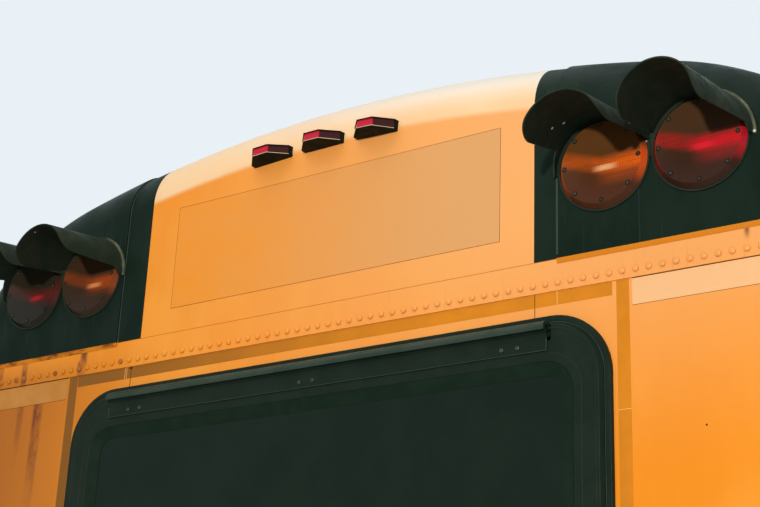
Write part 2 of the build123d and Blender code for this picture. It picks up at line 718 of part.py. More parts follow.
# Gas struts: each tube turns on the frame's pin, and each rod slides in its tube and ends in a stud
STRUT_LONG = hypot(STRUT_FOOT_Y - STRUT_TOP_Y, STRUT_FOOT_Z - STRUT_TOP_Z)
STRUT_LEAN = degrees(atan2(STRUT_TOP_Y - STRUT_FOOT_Y, STRUT_TOP_Z - STRUT_FOOT_Z))
BORE_R = STRUT_ROD_R + PIN_CLEAR

for side_name, side in SIDES:
    top = Vector(side * STRUT_X, STRUT_TOP_Y, STRUT_TOP_Z)
    foot = Vector(side * STRUT_X, STRUT_FOOT_Y, STRUT_FOOT_Z)
    down = (foot - top).normalized()
    across = Plane(origin=top, x_dir=(1, 0, 0), z_dir=down)
    with BuildPart() as strut_tube:
        with BuildSketch(across.offset(STRUT_EYE_R)):
            Circle(STRUT_TUBE_R)
        extrude(amount=STRUT_TUBE_LONG - STRUT_EYE_R)
        with BuildSketch(Plane.YZ.offset(side * STRUT_X - STRUT_EYE_THICK / 2)):
            with Locations((STRUT_TOP_Y, STRUT_TOP_Z)):
                Circle(STRUT_EYE_R)
        extrude(amount=STRUT_EYE_THICK)
        with BuildSketch(across):
            Rectangle(STRUT_EYE_THICK, STRUT_EYE_THICK)
        extrude(amount=STRUT_EYE_R + PIN_CLEAR)
        with BuildSketch(Plane.YZ.offset(side * STRUT_X - STRUT_TUBE_R)):
            with Locations((STRUT_TOP_Y, STRUT_TOP_Z)):
                Circle(STRUT_PIN_R + PIN_CLEAR)
        extrude(amount=2 * STRUT_TUBE_R, mode=Mode.SUBTRACT)
        with BuildSketch(across.offset(STRUT_TUBE_LONG)):
            Circle(BORE_R)
        extrude(amount=-(STRUT_TUBE_LONG - 3 * STRUT_EYE_R), mode=Mode.SUBTRACT)
    save(f"strut_tube_{side_name}", strut_tube)
    with BuildPart() as strut_rod:
        with BuildSketch(across.offset(STRUT_TUBE_LONG - STRUT_ROD_INSIDE)):
            Circle(STRUT_ROD_R)
        extrude(amount=STRUT_LONG - STRUT_TUBE_LONG + STRUT_ROD_INSIDE)
        with BuildSketch(Plane.YZ.offset(side * STRUT_X - STRUT_EYE_THICK / 2)):
            with Locations((STRUT_FOOT_Y, STRUT_FOOT_Z)):
                Circle(STRUT_EYE_R)
        extrude(amount=STRUT_EYE_THICK)
        with BuildSketch(Plane.YZ.offset(side * STRUT_X)):
            with Locations((STRUT_FOOT_Y, STRUT_FOOT_Z)):
                Circle(STRUT_PIN_R)
        extrude(amount=-side * (STRUT_EYE_THICK / 2 + STUD_LONG - STUD_CLEAR))
    save(f"strut_rod_{side_name}", strut_rod)
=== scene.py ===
"""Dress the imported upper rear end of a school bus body: enamel, lamps, rivets, tape, window and grime."""
from __future__ import annotations

import json
import logging
import math
from dataclasses import dataclass
from enum import Enum
from typing import Callable, Iterable, Optional, Sequence, Union

import bmesh
import bpy
from mathutils import Matrix, Vector

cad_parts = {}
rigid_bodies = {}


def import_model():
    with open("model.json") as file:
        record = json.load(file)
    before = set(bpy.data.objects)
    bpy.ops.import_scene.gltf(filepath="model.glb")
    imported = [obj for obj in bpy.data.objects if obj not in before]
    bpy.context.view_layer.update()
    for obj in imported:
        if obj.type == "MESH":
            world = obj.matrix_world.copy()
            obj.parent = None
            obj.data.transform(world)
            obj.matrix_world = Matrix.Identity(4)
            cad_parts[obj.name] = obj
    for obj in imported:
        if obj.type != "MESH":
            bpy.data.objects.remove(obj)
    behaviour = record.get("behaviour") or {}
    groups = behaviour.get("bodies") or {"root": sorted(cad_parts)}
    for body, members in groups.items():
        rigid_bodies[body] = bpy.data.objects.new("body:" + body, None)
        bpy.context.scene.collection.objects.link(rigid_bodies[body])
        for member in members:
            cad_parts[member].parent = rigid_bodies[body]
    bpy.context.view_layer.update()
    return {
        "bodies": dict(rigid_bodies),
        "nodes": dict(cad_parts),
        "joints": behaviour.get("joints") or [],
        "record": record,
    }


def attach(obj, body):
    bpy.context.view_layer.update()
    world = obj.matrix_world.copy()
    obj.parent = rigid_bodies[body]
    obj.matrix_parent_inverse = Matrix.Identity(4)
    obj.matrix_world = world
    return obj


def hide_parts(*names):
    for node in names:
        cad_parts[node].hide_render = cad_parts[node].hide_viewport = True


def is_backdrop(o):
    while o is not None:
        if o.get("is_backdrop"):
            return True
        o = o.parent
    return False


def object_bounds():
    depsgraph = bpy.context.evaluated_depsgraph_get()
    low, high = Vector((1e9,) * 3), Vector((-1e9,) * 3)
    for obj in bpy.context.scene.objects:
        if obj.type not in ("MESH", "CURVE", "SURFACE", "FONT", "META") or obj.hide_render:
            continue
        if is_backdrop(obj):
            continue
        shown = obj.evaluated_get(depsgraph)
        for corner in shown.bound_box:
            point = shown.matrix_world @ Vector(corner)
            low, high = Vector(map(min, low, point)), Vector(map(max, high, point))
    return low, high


LOG = logging.getLogger("bus_rear_end")
MM = 0.001

Place = tuple[float, float, float]
Corner = tuple[float, float]
Box = tuple[float, float, float, float]
Station = tuple[Vector, Vector]
Piece = bpy.types.Object
Socket = bpy.types.NodeSocket
Term = Union[bpy.types.NodeSocket, float]
Shade = Union[bpy.types.NodeSocket, str]

# Where the lamps and the main joints of the skin lie, in metres.
LAMP_Z = 1.149
OUTER_LAMP_X = 0.831
INNER_LAMP_X = 0.645
MARKER_PITCH = 135 * MM
CLEARANCE_X = 1.023
LAMP_SEAM_X = 0.546
CAP_FOOT_Z = 0.9848
FLANGE_FOOT_Z = 0.925
WALL_SEAM_X = 0.499
WALL_OUTSET = -3 * MM
WINDOW_FOOT_Z = 0.268


class Body(Enum):
    """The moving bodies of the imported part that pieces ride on."""

    SHELL = "shell"
    WINDOW = "window"
    TUBE_LEFT = "strut_tube_left"
    TUBE_RIGHT = "strut_tube_right"
    ROD_LEFT = "strut_rod_left"
    ROD_RIGHT = "strut_rod_right"


def deselect_all() -> None:
    """Leave no object selected, so that an operator acts only on what comes next."""
    if bpy.context.object and bpy.context.object.mode != "OBJECT":
        bpy.ops.object.mode_set(mode="OBJECT")
    bpy.ops.object.select_all(action="DESELECT")


def pick(piece: Piece) -> None:
    """Select one object alone and make it the active one."""
    deselect_all()
    piece.select_set(True)
    bpy.context.view_layer.objects.active = piece


def newest(name: str) -> Piece:
    """Name the object that an operator has just added.

    Args:
        name: The name for the object and its data.

    Returns:
        The named object.
    """
    piece = bpy.context.object
    piece.name = name
    piece.data.name = name
    return piece


def settle(piece: Piece) -> None:
    """Put an object's place, turn and scale into its mesh."""
    pick(piece)
    bpy.ops.object.transform_apply(location=True, rotation=True, scale=True)


def select_faces(piece: Piece, wanted: Callable[[bmesh.types.BMFace], bool]) -> None:
    """Enter edit mode with only the wanted faces selected.

    Args:
        piece: The object to edit.
        wanted: Says of a face whether it is selected.
    """
    pick(piece)
    bpy.ops.object.mode_set(mode="EDIT")
    bpy.ops.mesh.select_mode(type="FACE")
    bpy.ops.mesh.select_all(action="DESELECT")
    shape = bmesh.from_edit_mesh(piece.data)
    for face in shape.faces:
        face.select_set(wanted(face))
    bmesh.update_edit_mesh(piece.data)


def smooth(piece: Piece, angle: float) -> None:
    """Return to object mode and shade a piece smooth, but not across edges over an angle in degrees."""
    pick(piece)
    bpy.ops.object.shade_smooth_by_angle(angle=math.radians(angle))


def copies(model: Piece, places: Iterable[Matrix], name: str) -> Piece:
    """Set copies of a small model at many places and join them into one piece.

    Args:
        model: The finished model, with its seat at the origin; it is removed.
        places: One matrix for each copy.
        name: The name of the joined piece.

    Returns:
        The joined piece.
    """
    made = []
    for place in places:
        twin = model.copy()
        twin.data = model.data.copy()
        twin.data.transform(place)
        bpy.context.scene.collection.objects.link(twin)
        made.append(twin)
    bpy.data.objects.remove(model)
    deselect_all()
    for twin in made:
        twin.select_set(True)
    bpy.context.view_layer.objects.active = made[0]
    bpy.ops.object.join()
    return newest(name)


def facing(point: Place, normal: Place, spin: float = 0.0) -> Matrix:
    """Return the matrix that stands a model, built along +Z, on a point along a normal.

    Args:
        point: Where the model's seat goes.
        normal: The way its +Z turns.
        spin: A turn about its own axis, in radians.

    Returns:
        The placing matrix.
    """
    turn = Vector(normal).to_track_quat("Z", "Y").to_matrix().to_4x4()
    return Matrix.Translation(Vector(point)) @ turn @ Matrix.Rotation(spin, 4, "Z")


def wire(points: Sequence[Place], radius: float, name: str, closed: bool = False) -> Piece:
    """Lay a round bead along points and make it a mesh.

    Args:
        points: The line that the bead follows.
        radius: The bead's radius in metres.
        name: The piece's name.
        closed: Whether the line runs back to its start.

    Returns:
        The bead as a mesh object.
    """
    deselect_all()
    bpy.ops.curve.primitive_bezier_curve_add()
    piece = newest(name)
    line = piece.data
    line.splines.clear()
    run = line.splines.new("POLY")
    run.points.add(len(points) - 1)
    for spot, point in zip(run.points, points):
        spot.co = (*point, 1.0)
    run.use_cyclic_u = closed
    line.bevel_depth = radius
    line.bevel_resolution = 2
    line.use_fill_caps = not closed
    pick(piece)
    bpy.ops.object.convert(target="MESH")
    smooth(piece, 50)
    return newest(name)


def film(rows: Sequence[Sequence[Place]], thick: float, name: str) -> Piece:
    """Lay a thin film over a grid of points, grown outwards by its thickness.

    Args:
        rows: Rows of points, each row of the same length, seen from outside left to right and bottom up.
        thick: The film's thickness in metres.
        name: The piece's name.

    Returns:
        The film as a closed mesh.
    """
    wide, tall = len(rows[0]), len(rows)
    deselect_all()
    bpy.ops.mesh.primitive_grid_add(x_subdivisions=wide - 1, y_subdivisions=tall - 1, size=1.0)
    piece = newest(name)
    for index, vertex in enumerate(piece.data.vertices):
        vertex.co = rows[index // wide][index % wide]
    modifier = piece.modifiers.new("thickness", "SOLIDIFY")
    modifier.thickness = thick
    modifier.offset = 1.0
    bpy.ops.object.modifier_apply(modifier=modifier.name)
    smooth(piece, 30)
    return piece


@dataclass(frozen=True)
class BodyForm:
    """The outer form of the body's rear end, in metres: flat rear face, roll, shoulders and crown."""

    half_width: float = 1.219
    depth: float = 0.457
    crest_z: float = 1.467
    crown_r: float = 3.150
    shoulder_r: float = 0.640
    roll_r: float = 0.127
    face_steps: int = 80
    corner_steps: int = 24
    side_steps: int = 12

    @property
    def crown_z(self) -> float:
        """Height of the crown arc's centre."""
        return self.crest_z - self.crown_r

    @property
    def shoulder_x(self) -> float:
        """Place along X of the shoulder arc's centre."""
        return self.half_width - self.shoulder_r

    @property
    def shoulder_z(self) -> float:
        """Height of the shoulder arc's centre."""
        gap = self.crown_r - self.shoulder_r
        return self.crown_z + math.sqrt(gap * gap - self.shoulder_x**2)

    def level_line(self, height: float, outset: float = 0.0) -> list[Station]:
        """Follow the skin at one height from the middle, round the right corner, to the front bow.

        Args:
            height: The level along Z.
            outset: How far the line stands off the middle cap's skin.

        Returns:
            Points on the skin with the outward normal at each.
        """
        inner_r = self.shoulder_r - self.roll_r
        rise = max(height - self.shoulder_z, 0.0)
        flat_end = self.shoulder_x + math.sqrt(inner_r**2 - rise**2)
        spots = [flat_end * step / self.face_steps for step in range(self.face_steps + 1)]
        line = [(Vector((x, -outset, height)), Vector((0.0, -1.0, 0.0))) for x in spots]
        for step in range(1, self.corner_steps + 1):
            turn = math.radians(90 - 90 * step / self.corner_steps)
            reach = inner_r + self.roll_r * math.cos(turn)
            lean = math.acos(min(rise / reach, 1.0))
            side = math.sin(lean)
            normal = Vector((math.cos(turn) * side, -math.sin(turn), math.cos(turn) * math.cos(lean)))
            skin = Vector((self.shoulder_x + reach * side, self.roll_r * (1 - math.sin(turn)), height))
            line.append((skin + normal * outset, normal))
        last, normal = line[-1]
        for step in range(1, self.side_steps + 1):
            y = last.y + (self.depth - last.y) * step / self.side_steps
            line.append((Vector((last.x, y, height)), normal))
        return line

    def along(self, line: Sequence[Station], run: float) -> Station:
        """Return the point and normal at a run along a level line, mirrored where the run is negative.

        Args:
            line: A level line of the right side.
            run: The distance from the middle along the skin.

        Returns:
            The point and the outward normal there.
        """
        left = abs(run)
        for (start, turn_a), (end, turn_b) in zip(line, line[1:]):
            step = (end - start).length
            if left <= step:
                break
            left -= step
        else:
            left = step
        share = min(left / step, 1.0)
        point, normal = start.lerp(end, share), turn_a.lerp(turn_b, share).normalized()
        if run < 0:
            point.x, normal.x = -point.x, -normal.x
        return point, normal

    def band(self, box: Box, outset: float, thick: float, name: str) -> Piece:
        """Lay a film on the skin between two heights and two runs from the middle.

        Args:
            box: Its lower and upper edge, and the runs at which it starts and ends.
            outset: How far the skin under it stands off the middle cap's skin.
            thick: The film's thickness.
            name: The piece's name.

        Returns:
            The film.
        """
        low_z, high_z, start, end = box
        steps = max(2, int(abs(end - start) / 0.02))
        runs = [start + (end - start) * step / steps for step in range(steps + 1)]
        lines = [self.level_line(height, outset) for height in (low_z, high_z)]
        return film([[self.along(line, run)[0] for run in runs] for line in lines], thick, name)

    def over_roll(self, x: float, foot_z: float) -> list[Place]:
        """Follow the middle cap's skin at one place along X: up the face, round the roll and over the roof.

        Args:
            x: The place along X.
            foot_z: The height at which the line starts.

        Returns:
            The line's points.
        """
        points = [(x, 0.0, foot_z)]
        for turn in map(math.radians, range(0, 95, 5)):
            reach = self.crown_r - self.roll_r + self.roll_r * math.sin(turn)
            points.append((x, self.roll_r * (1 - math.cos(turn)), self.crown_z + math.sqrt(reach**2 - x**2)))
        return [*points, (x, self.depth, points[-1][2])]


FORM = BodyForm()


def linear(code: str) -> tuple[float, float, float, float]:
    """Turn an sRGB hex colour into Blender's linear one.

    Args:
        code: The colour as six hex digits.

    Returns:
        Linear red, green, blue and an alpha of 1.
    """
    parts = [int(code[k : k + 2], 16) / 255 for k in (0, 2, 4)]
    red, green, blue = (p / 12.92 if p <= 0.04045 else ((p + 0.055) / 1.055) ** 2.4 for p in parts)
    return red, green, blue, 1.0


def add_node(
    tree: bpy.types.NodeTree, kind: str, values: Optional[dict] = None, links: Optional[dict] = None
) -> bpy.types.Node:
    """Add a shader node, set its values and link its inputs.

    Args:
        tree: The node tree that it joins.
        kind: Blender's node type.
        values: Settings by name, and socket values by name or number.
        links: The outputs to link, by input name or number.

    Returns:
        The new node.
    """
    made = tree.nodes.new(kind)
    for key, value in (values or {}).items():
        if isinstance(key, str) and hasattr(made, key):
            setattr(made, key, value)
    for key, value in (values or {}).items():
        if isinstance(key, int) or not hasattr(made, key):
            made.inputs[key].default_value = value
    for key, source in (links or {}).items():
        tree.links.new(source, made.inputs[key])
    return made


def seen_directly(tree: bpy.types.NodeTree) -> Socket:
    """Return a mask that is 1 for rays from the camera, a mirror or glass, and 0 for other rays.

    Args:
        tree: The node tree that the mask joins.

    Returns:
        The mask's output socket.
    """
    path = add_node(tree, "ShaderNodeLightPath")
    shown = path.outputs["Is Camera Ray"]
    for ray in ("Is Transmission Ray", "Is Glossy Ray"):
        links = {0: shown, 1: path.outputs[ray]}
        shown = add_node(tree, "ShaderNodeMath", {"operation": "MAXIMUM"}, links).outputs[0]
    return shown


class Palette:
    """Builds one procedural material step by step, on the piece's own Object coordinates."""

    def __init__(self, name: str) -> None:
        """Start a material with its surface shader and its coordinates."""
        self.material = bpy.data.materials.new(name)
        self.material.use_nodes = True
        self.tree = self.material.node_tree
        self.tree.nodes.clear()
        self.surface = add_node(self.tree, "ShaderNodeBsdfPrincipled")
        self.end = add_node(self.tree, "ShaderNodeOutputMaterial", links={0: self.surface.outputs[0]})
        self.spot = add_node(self.tree, "ShaderNodeTexCoord").outputs["Object"]
        self.axes = add_node(self.tree, "ShaderNodeSeparateXYZ", links={0: self.spot}).outputs

    def patches(
        self, size_mm: float, detail: float = 4.0, stretch: Place = (1, 1, 1), bias: Corner = (0.4, 0.6)
    ) -> Socket:
        """Return a mask of soft patches.

        Args:
            size_mm: The patches' size in millimetres.
            detail: How much fine detail they have.
            stretch: How many times longer they are along each axis.
            bias: The noise levels that become 0 and 1.

        Returns:
            The mask's output socket.
        """
        scale = {"Scale": tuple(1000.0 / size_mm / s for s in stretch)}
        mapped = add_node(self.tree, "ShaderNodeMapping", scale, {"Vector": self.spot})
        look = {"Scale": 1.0, "Detail": detail, "Roughness": 0.6}
        noise = add_node(self.tree, "ShaderNodeTexNoise", look, {"Vector": mapped.outputs[0]})
        return self.ramp(noise.outputs["Fac"], *bias)

    def ramp(self, level: Union[Socket, str], low: float, high: float) -> Socket:
        """Return a level, or an axis by its letter, eased so that low gives 0 and high gives 1."""
        source = self.axes[level] if isinstance(level, str) else level
        values = {"interpolation_type": "SMOOTHSTEP", 1: low, 2: high, 3: 0.0, 4: 1.0}
        return add_node(self.tree, "ShaderNodeMapRange", values, {0: source}).outputs[0]

    def maths(self, operation: str, first: Term, second: Term) -> Socket:
        """Work out one operation on two sockets or numbers.

        Args:
            operation: Blender's name for it.
            first: Its first term.
            second: Its second term.

        Returns:
            The result's output socket.
        """
        values, links = {"operation": operation}, {}
        for slot, term in enumerate((first, second)):
            (values if isinstance(term, (int, float)) else links)[slot] = term
        return add_node(self.tree, "ShaderNodeMath", values, links).outputs[0]

    def times(self, first: Term, *others: Term) -> Term:
        """Return the product of sockets and numbers."""
        for other in others:
            first = self.maths("MULTIPLY", first, other)
        return first

    def distance(self, x: float, z: float) -> Socket:
        """Return how far a point lies from a line along Y through a place."""
        across, up = self.maths("SUBTRACT", self.axes["X"], x), self.maths("SUBTRACT", self.axes["Z"], z)
        square = self.maths("ADD", self.times(across, across), self.times(up, up))
        return self.maths("SQRT", square, 0.0)

    def within(self, axis: str, low: float, high: float, soft: float) -> Socket:
        """Return a mask that is 1 between two places along an axis, with soft ends."""
        return self.times(self.ramp(axis, low - soft, low + soft), self.ramp(axis, high + soft, high - soft))

    def blend(self, under: Shade, over: Shade, *masks: Term) -> Socket:
        """Return a colour that goes from under to over as the product of the masks goes from 0 to 1.

        Args:
            under: A hex colour or a socket.
            over: A hex colour or a socket.
            masks: Sockets and numbers.

        Returns:
            The colour's output socket.
        """
        values, links = {"data_type": "RGBA"}, {0: self.times(*masks)}
        for slot, colour in ((6, under), (7, over)):
            if isinstance(colour, str):
                values[slot] = linear(colour)
            else:
                links[slot] = colour
        return add_node(self.tree, "ShaderNodeMix", values, links).outputs[2]

    def level(self, mask: Socket, low: float, high: float) -> Socket:
        """Return a number that goes from low to high as the mask goes from 0 to 1."""
        return add_node(self.tree, "ShaderNodeMapRange", {3: low, 4: high}, {0: mask}).outputs[0]

    def relief(self, height: Socket, depth_mm: float, under: Optional[Socket] = None) -> Socket:
        """Return a normal with relief of a depth in millimetres, over an earlier normal if one is given."""
        links = {"Height": height} if under is None else {"Height": height, "Normal": under}
        values = {"Strength": 1.0, "Distance": depth_mm * MM}
        return add_node(self.tree, "ShaderNodeBump", values, links).outputs[0]

    def grain(
        self, size_mm: float, depth_mm: float, under: Optional[Socket] = None, detail: float = 2.0
    ) -> Socket:
        """Return a normal with soft bumps of a size and depth in millimetres."""
        return self.relief(self.patches(size_mm, detail, bias=(0.2, 0.8)), depth_mm, under)

    def done(
        self, values: dict, colour: Socket, rough: Optional[Socket] = None, normal: Optional[Socket] = None
    ) -> None:
        """Set the surface's last values and links.

        Args:
            values: Socket values of the surface shader.
            colour: Feeds its base colour.
            rough: Feeds its roughness, if given.
            normal: Feeds its normal, if given.
        """
        for key, value in values.items():
            self.surface.inputs[key].default_value = value
        for key, source in (("Base Color", colour), ("Roughness", rough), ("Normal", normal)):
            if source is not None:
                self.tree.links.new(source, self.surface.inputs[key])


@dataclass(frozen=True)
class Finish:
    """A procedural surface that knows its name and how it is mixed."""

    name: str

    def mix(self, paint: Palette) -> None:
        """Mix the surface on a palette, which each finish does in its own way."""
        raise NotImplementedError

    def make(self) -> bpy.types.Material:
        """Return a new material with this finish."""
        paint = Palette(self.name)
        self.mix(paint)
        return paint.material


@dataclass(frozen=True)
class RustRun:
    """One stain that water has drawn down the paint from a leaking joint."""

    x: float
    half_wide: float
    top_z: float
    foot_z: float


RUST_RUNS = (
    RustRun(-0.647, 10 * MM, 0.984, 0.880),
    RustRun(-0.660, 4 * MM, 0.955, 0.900),
    RustRun(-0.838, 9 * MM, 0.984, 0.700),
    RustRun(-0.921, 11 * MM, 0.984, 0.890),
    RustRun(-0.780, 14 * MM, 0.880, 0.560),
    RustRun(0.905, 4 * MM, 0.975, 0.950),
)


@dataclass(frozen=True)
class BusEnamel(Finish):
    """Sprayed orange-yellow enamel on sheet steel: soft gloss over fine orange peel, with rust runs."""

    name: str = "bus_enamel"
    colour: str = "F2941F"
    faded: str = "F39D32"
    deep: str = "E98818"
    pale: str = "F4B372"
    bleach_and_sheen: str = "F7D2A2"
    chalk_and_sheen: str = "EBE2D2"
    dirt: str = "8A5418"
    rust: str = "6B3016"
    shaded: str = "A45C12"

    def mix(self, paint: Palette) -> None:
        """Mix the enamel, with painted light on the right, painted shade on the left, and a roll that is
        paler where it faces the sky.
        """
        # Broad sun fading and thin spots: the sheet looks hand sprayed and not printed.
        body = paint.blend(self.colour, self.faded, paint.patches(520, 2))
        body = paint.blend(body, self.deep, paint.patches(240, 4, (0.7, 0.7, 2)), 0.35)
        # Painted light: the right side is paler, more so higher up.
        body = paint.blend(body, self.pale, paint.ramp("X", -0.7, 0.75), paint.ramp("Z", 0.55, 1.15), 0.9)
        # Painted shade: the left side is darker, below the cap.
        body = paint.blend(body, self.shaded, paint.ramp("X", -0.3, -0.95), paint.ramp("Z", 1.0, 0.9), 0.85)
        # Where the roll turns up to the sky the paint is paler: partly bleaching and chalk, partly a painted
        # sheen; a distance from the crown's centre finds it.
        reach = paint.distance(0.0, FORM.crown_z)
        past_face = paint.maths("SUBTRACT", reach, FORM.crown_r - FORM.roll_r)
        uneven = paint.level(paint.patches(300, 3), 0.8, 1.0)
        body = paint.blend(body, self.bleach_and_sheen, paint.ramp(past_face, -0.006, 0.010), uneven)
        body = paint.blend(body, self.chalk_and_sheen, paint.ramp(past_face, 0.010, 0.090), paint.ramp("X", -0.5, 0.4))
        # Dust that rain has washed into thin streaks under the ledges.
        streaks = paint.patches(8, 3, (1, 1, 24), (0.56, 0.78))
        body = paint.blend(body, self.dirt, streaks, paint.within("Z", 0.90, 0.98, 0.03), 0.22)
        # Rust runs under the lamp panels: brown, darkest at the joint that they come from.
        for run in RUST_RUNS:
            wide = paint.within("X", run.x - run.half_wide, run.x + run.half_wide, 5 * MM)
            tall = paint.ramp("Z", run.foot_z, run.top_z)
            below = paint.ramp("Z", run.top_z + 8 * MM, run.top_z - 2 * MM)
            uneven = paint.level(paint.patches(30, 4, (1, 1, 2)), 0.35, 0.9)
            body = paint.blend(body, self.rust, wide, tall, below, uneven)
        # Orange peel close to, and the slow waves of thin sheet from afar.
        sheet = paint.grain(380, 0.7, paint.grain(5, 0.04), 1)
        gloss = {"Specular IOR Level": 0.16, "Coat Weight": 0.04, "Coat Roughness": 0.15}
        paint.done(gloss, body, paint.level(paint.patches(60, 4), 0.3, 0.4), sheet)


@dataclass(frozen=True)
class FieldBlack(Finish):
    """Satin black enamel round the warning lamps: greenish, a little chalky, with faint wash marks."""

    name: str = "lamp_field_black"
    colour: str = "13221B"
    chalk: str = "203028"
    wash: str = "55655C"
    orange: str = "D88424"
    rust: str = "6E3418"

    def mix(self, paint: Palette) -> None:
        """Mix the black with its orange lip below."""
        # Chalky bloom and a few pale wash marks keep the black from looking like a hole.
        body = paint.blend(self.colour, self.chalk, paint.patches(90, 5, (1, 1, 2.2)), 0.4)
        body = paint.blend(body, self.wash, paint.patches(6, 2, (1, 1, 40), (0.66, 0.78)), 0.2)
        # The lip's foot is orange again, painted darker than the body's orange as shade on its downward face,
        # and on the left it has rusted.
        rusty = paint.patches(20, 5, (2.5, 1, 1), (0.4, 0.7)), paint.ramp("X", 0.3, -0.3)
        lip = paint.blend(self.orange, self.rust, *rusty)
        body = paint.blend(body, lip, paint.ramp("Z", CAP_FOOT_Z + 0.8 * MM, CAP_FOOT_Z))
        sheet = paint.grain(300, 0.6, paint.grain(5, 0.04), 1)
        rough = paint.level(paint.patches(60, 4), 0.38, 0.5)
        paint.done({"Specular IOR Level": 0.04}, body, rough, sheet)


@dataclass(frozen=True)
class Moulded(Finish):
    """Black moulded ABS or rubber: matte, with a fine grain and pale specks of road dust."""

    colour: str = "202E24"
    dust: str = "33362B"
    rough: float = 0.62
    specks: bool = False
    speck: str = "D8D6CC"
    rim: str = "6A6E5A"

    def mix(self, paint: Palette) -> None:
        """Mix the moulded plastic."""
        body = paint.blend(self.colour, self.dust, paint.patches(60, 5), 0.6)
        if self.specks:
            # Painted highlight: pale arcs on the sunlit side of the two flanges; and pale specks stuck to the
            # visor.
            for lamp_x in (OUTER_LAMP_X, -INNER_LAMP_X):
                reach = paint.distance(lamp_x, LAMP_Z)
                ring = paint.ramp(reach, 0.096, 0.099), paint.ramp(reach, 0.13, 0.12)
                flange = paint.ramp("Y", -12 * MM, -8 * MM)
                sunny = paint.ramp("X", lamp_x + 0.03, lamp_x + 0.05)
                uneven = paint.level(paint.patches(25, 4), 0.5, 1.0)
                body = paint.blend(body, self.rim, *ring, flange, sunny, uneven)
            spread = {"Scale": 15.0, "Randomness": 1.0}
            dots = add_node(paint.tree, "ShaderNodeTexVoronoi", spread, {"Vector": paint.spot})
            body = paint.blend(body, self.speck, paint.ramp(dots.outputs["Distance"], 0.05, 0.035))
        rough = paint.level(paint.patches(25, 4), self.rough - 0.08, self.rough + 0.1)
        paint.done({"Specular IOR Level": 0.05}, body, rough, paint.grain(1.6, 0.06))


@dataclass(frozen=True)
class LensAcrylic(Finish):
    """Moulded acrylic lens: dusky colour over fine prisms, with painted reflections and glow where the bucket
    would throw light back.
    """

    low: str
    high: str
    painted_glow: str
    painted_hot_spot: str
    rim: str
    seam: str = "1E1610"
    x: float = 0.0
    z: float = LAMP_Z
    image: Corner = (0.0, 0.0)

    def prisms(self, paint: Palette, axis: str, pitch_mm: float) -> Socket:
        """Return a mask of fine ridges that repeat along an axis at a pitch in millimetres."""
        look = {"bands_direction": axis, "Scale": math.pi / 10 / (pitch_mm * MM), "Distortion": 0.0}
        return add_node(paint.tree, "ShaderNodeTexWave", look, {"Vector": paint.spot}).outputs["Fac"]

    def mix(self, paint: Palette) -> None:
        """Mix the lens acrylic."""
        # Painted reflection: the upper half is lighter, where it mirrors the hood's lit inside.
        body = paint.blend(self.low, self.high, paint.ramp("Z", self.z - 0.05, self.z + 0.05))
        ribs, rows = self.prisms(paint, "X", 3.2), self.prisms(paint, "Z", 5.2)
        grid = paint.times(paint.level(ribs, 0.68, 1.0), paint.level(rows, 0.8, 1.0))
        body = paint.blend(body, self.seam, paint.level(grid, 0.22, 0.0))
        across = paint.maths("SUBTRACT", paint.axes["X"], self.x)
        rising = paint.maths("SUBTRACT", paint.axes["Z"], self.z)
        # Painted reflection of the reflector: a bright band, level on the right and climbing to the left, cut
        # up by the prisms.
        along = paint.maths("SUBTRACT", across, self.image[0])
        lifted = paint.maths("SUBTRACT", rising, self.image[1])
        height = paint.maths("ADD", lifted, paint.times(paint.maths("MINIMUM", along, 0.0), 0.35))
        band = paint.ramp(height, -0.030, -0.014), paint.ramp(height, 0.016, -0.004)
        reach = paint.level(paint.ramp(along, -0.03, 0.02), 0.5, 1.0)
        broken = paint.level(paint.patches(22, 3, (2.6, 1, 0.5), (0.42, 0.58)), 0.72, 1.0)
        body = paint.blend(body, self.painted_glow, *band, broken, grid, reach)
        # Painted glow under the band, as the bucket's lower half would throw a weaker glow to the right.
        under = paint.ramp(rising, -0.055, -0.03), paint.ramp(rising, -0.005, -0.02)
        body = paint.blend(body, self.painted_glow, *under, paint.ramp(across, -0.02, 0.03), 0.3, grid)
        # A painted hot spot in the band.
        near = paint.ramp(along, -0.022, 0.004), paint.ramp(along, 0.040, 0.014)
        core = paint.ramp(lifted, -0.020, -0.015), paint.ramp(lifted, -0.005, -0.010)
        body = paint.blend(body, self.painted_hot_spot, *near, *core, grid)
        # Painted glow on the moulded edge, as if the sun came through it: bright on the right, dim on the
        # left.
        right = paint.times(paint.ramp(across, 0.055, 0.075), paint.ramp(rising, -0.06, -0.015))
        left = paint.times(paint.ramp(across, -0.060, -0.078), 0.4)
        edge = paint.ramp(paint.distance(self.x, self.z), 0.0775, 0.0800)
        lit = paint.times(paint.maths("ADD", right, left), paint.ramp(rising, 0.030, 0.0))
        body = paint.blend(body, self.rim, edge, lit)
        look = {"Roughness": 0.25, "IOR": 1.49, "Transmission Weight": 0.1, "Specular IOR Level": 0.08}
        paint.done(look, body, normal=paint.relief(ribs, 0.08))


@dataclass(frozen=True)
class MarkerAcrylic(Finish):
    """Red acrylic of a marker lamp: painted light, bright in the facet that the sun would shine out of, and
    painted shade, dark in the other.
    """

    x: float
    dark: str = "3E1216"
    bright: str = "CC1E3A"
    top_z: float = 1.34

    def mix(self, paint: Palette) -> None:
        """Mix the marker lens acrylic."""
        # Painted light: the facet on the left is bright red as if lit through, and the other is painted dark
        # as shade.
        body = paint.blend(self.dark, self.bright, paint.ramp("X", self.x + 0.0205, self.x + 0.0185))
        # The lens is darker toward its top.
        body = paint.blend(body, self.dark, paint.ramp("Z", self.top_z, self.top_z + 16 * MM), 0.5)
        look = {"Roughness": 0.3, "IOR": 1.49, "Transmission Weight": 0.1, "Specular IOR Level": 0.15}
        paint.done(look, body)


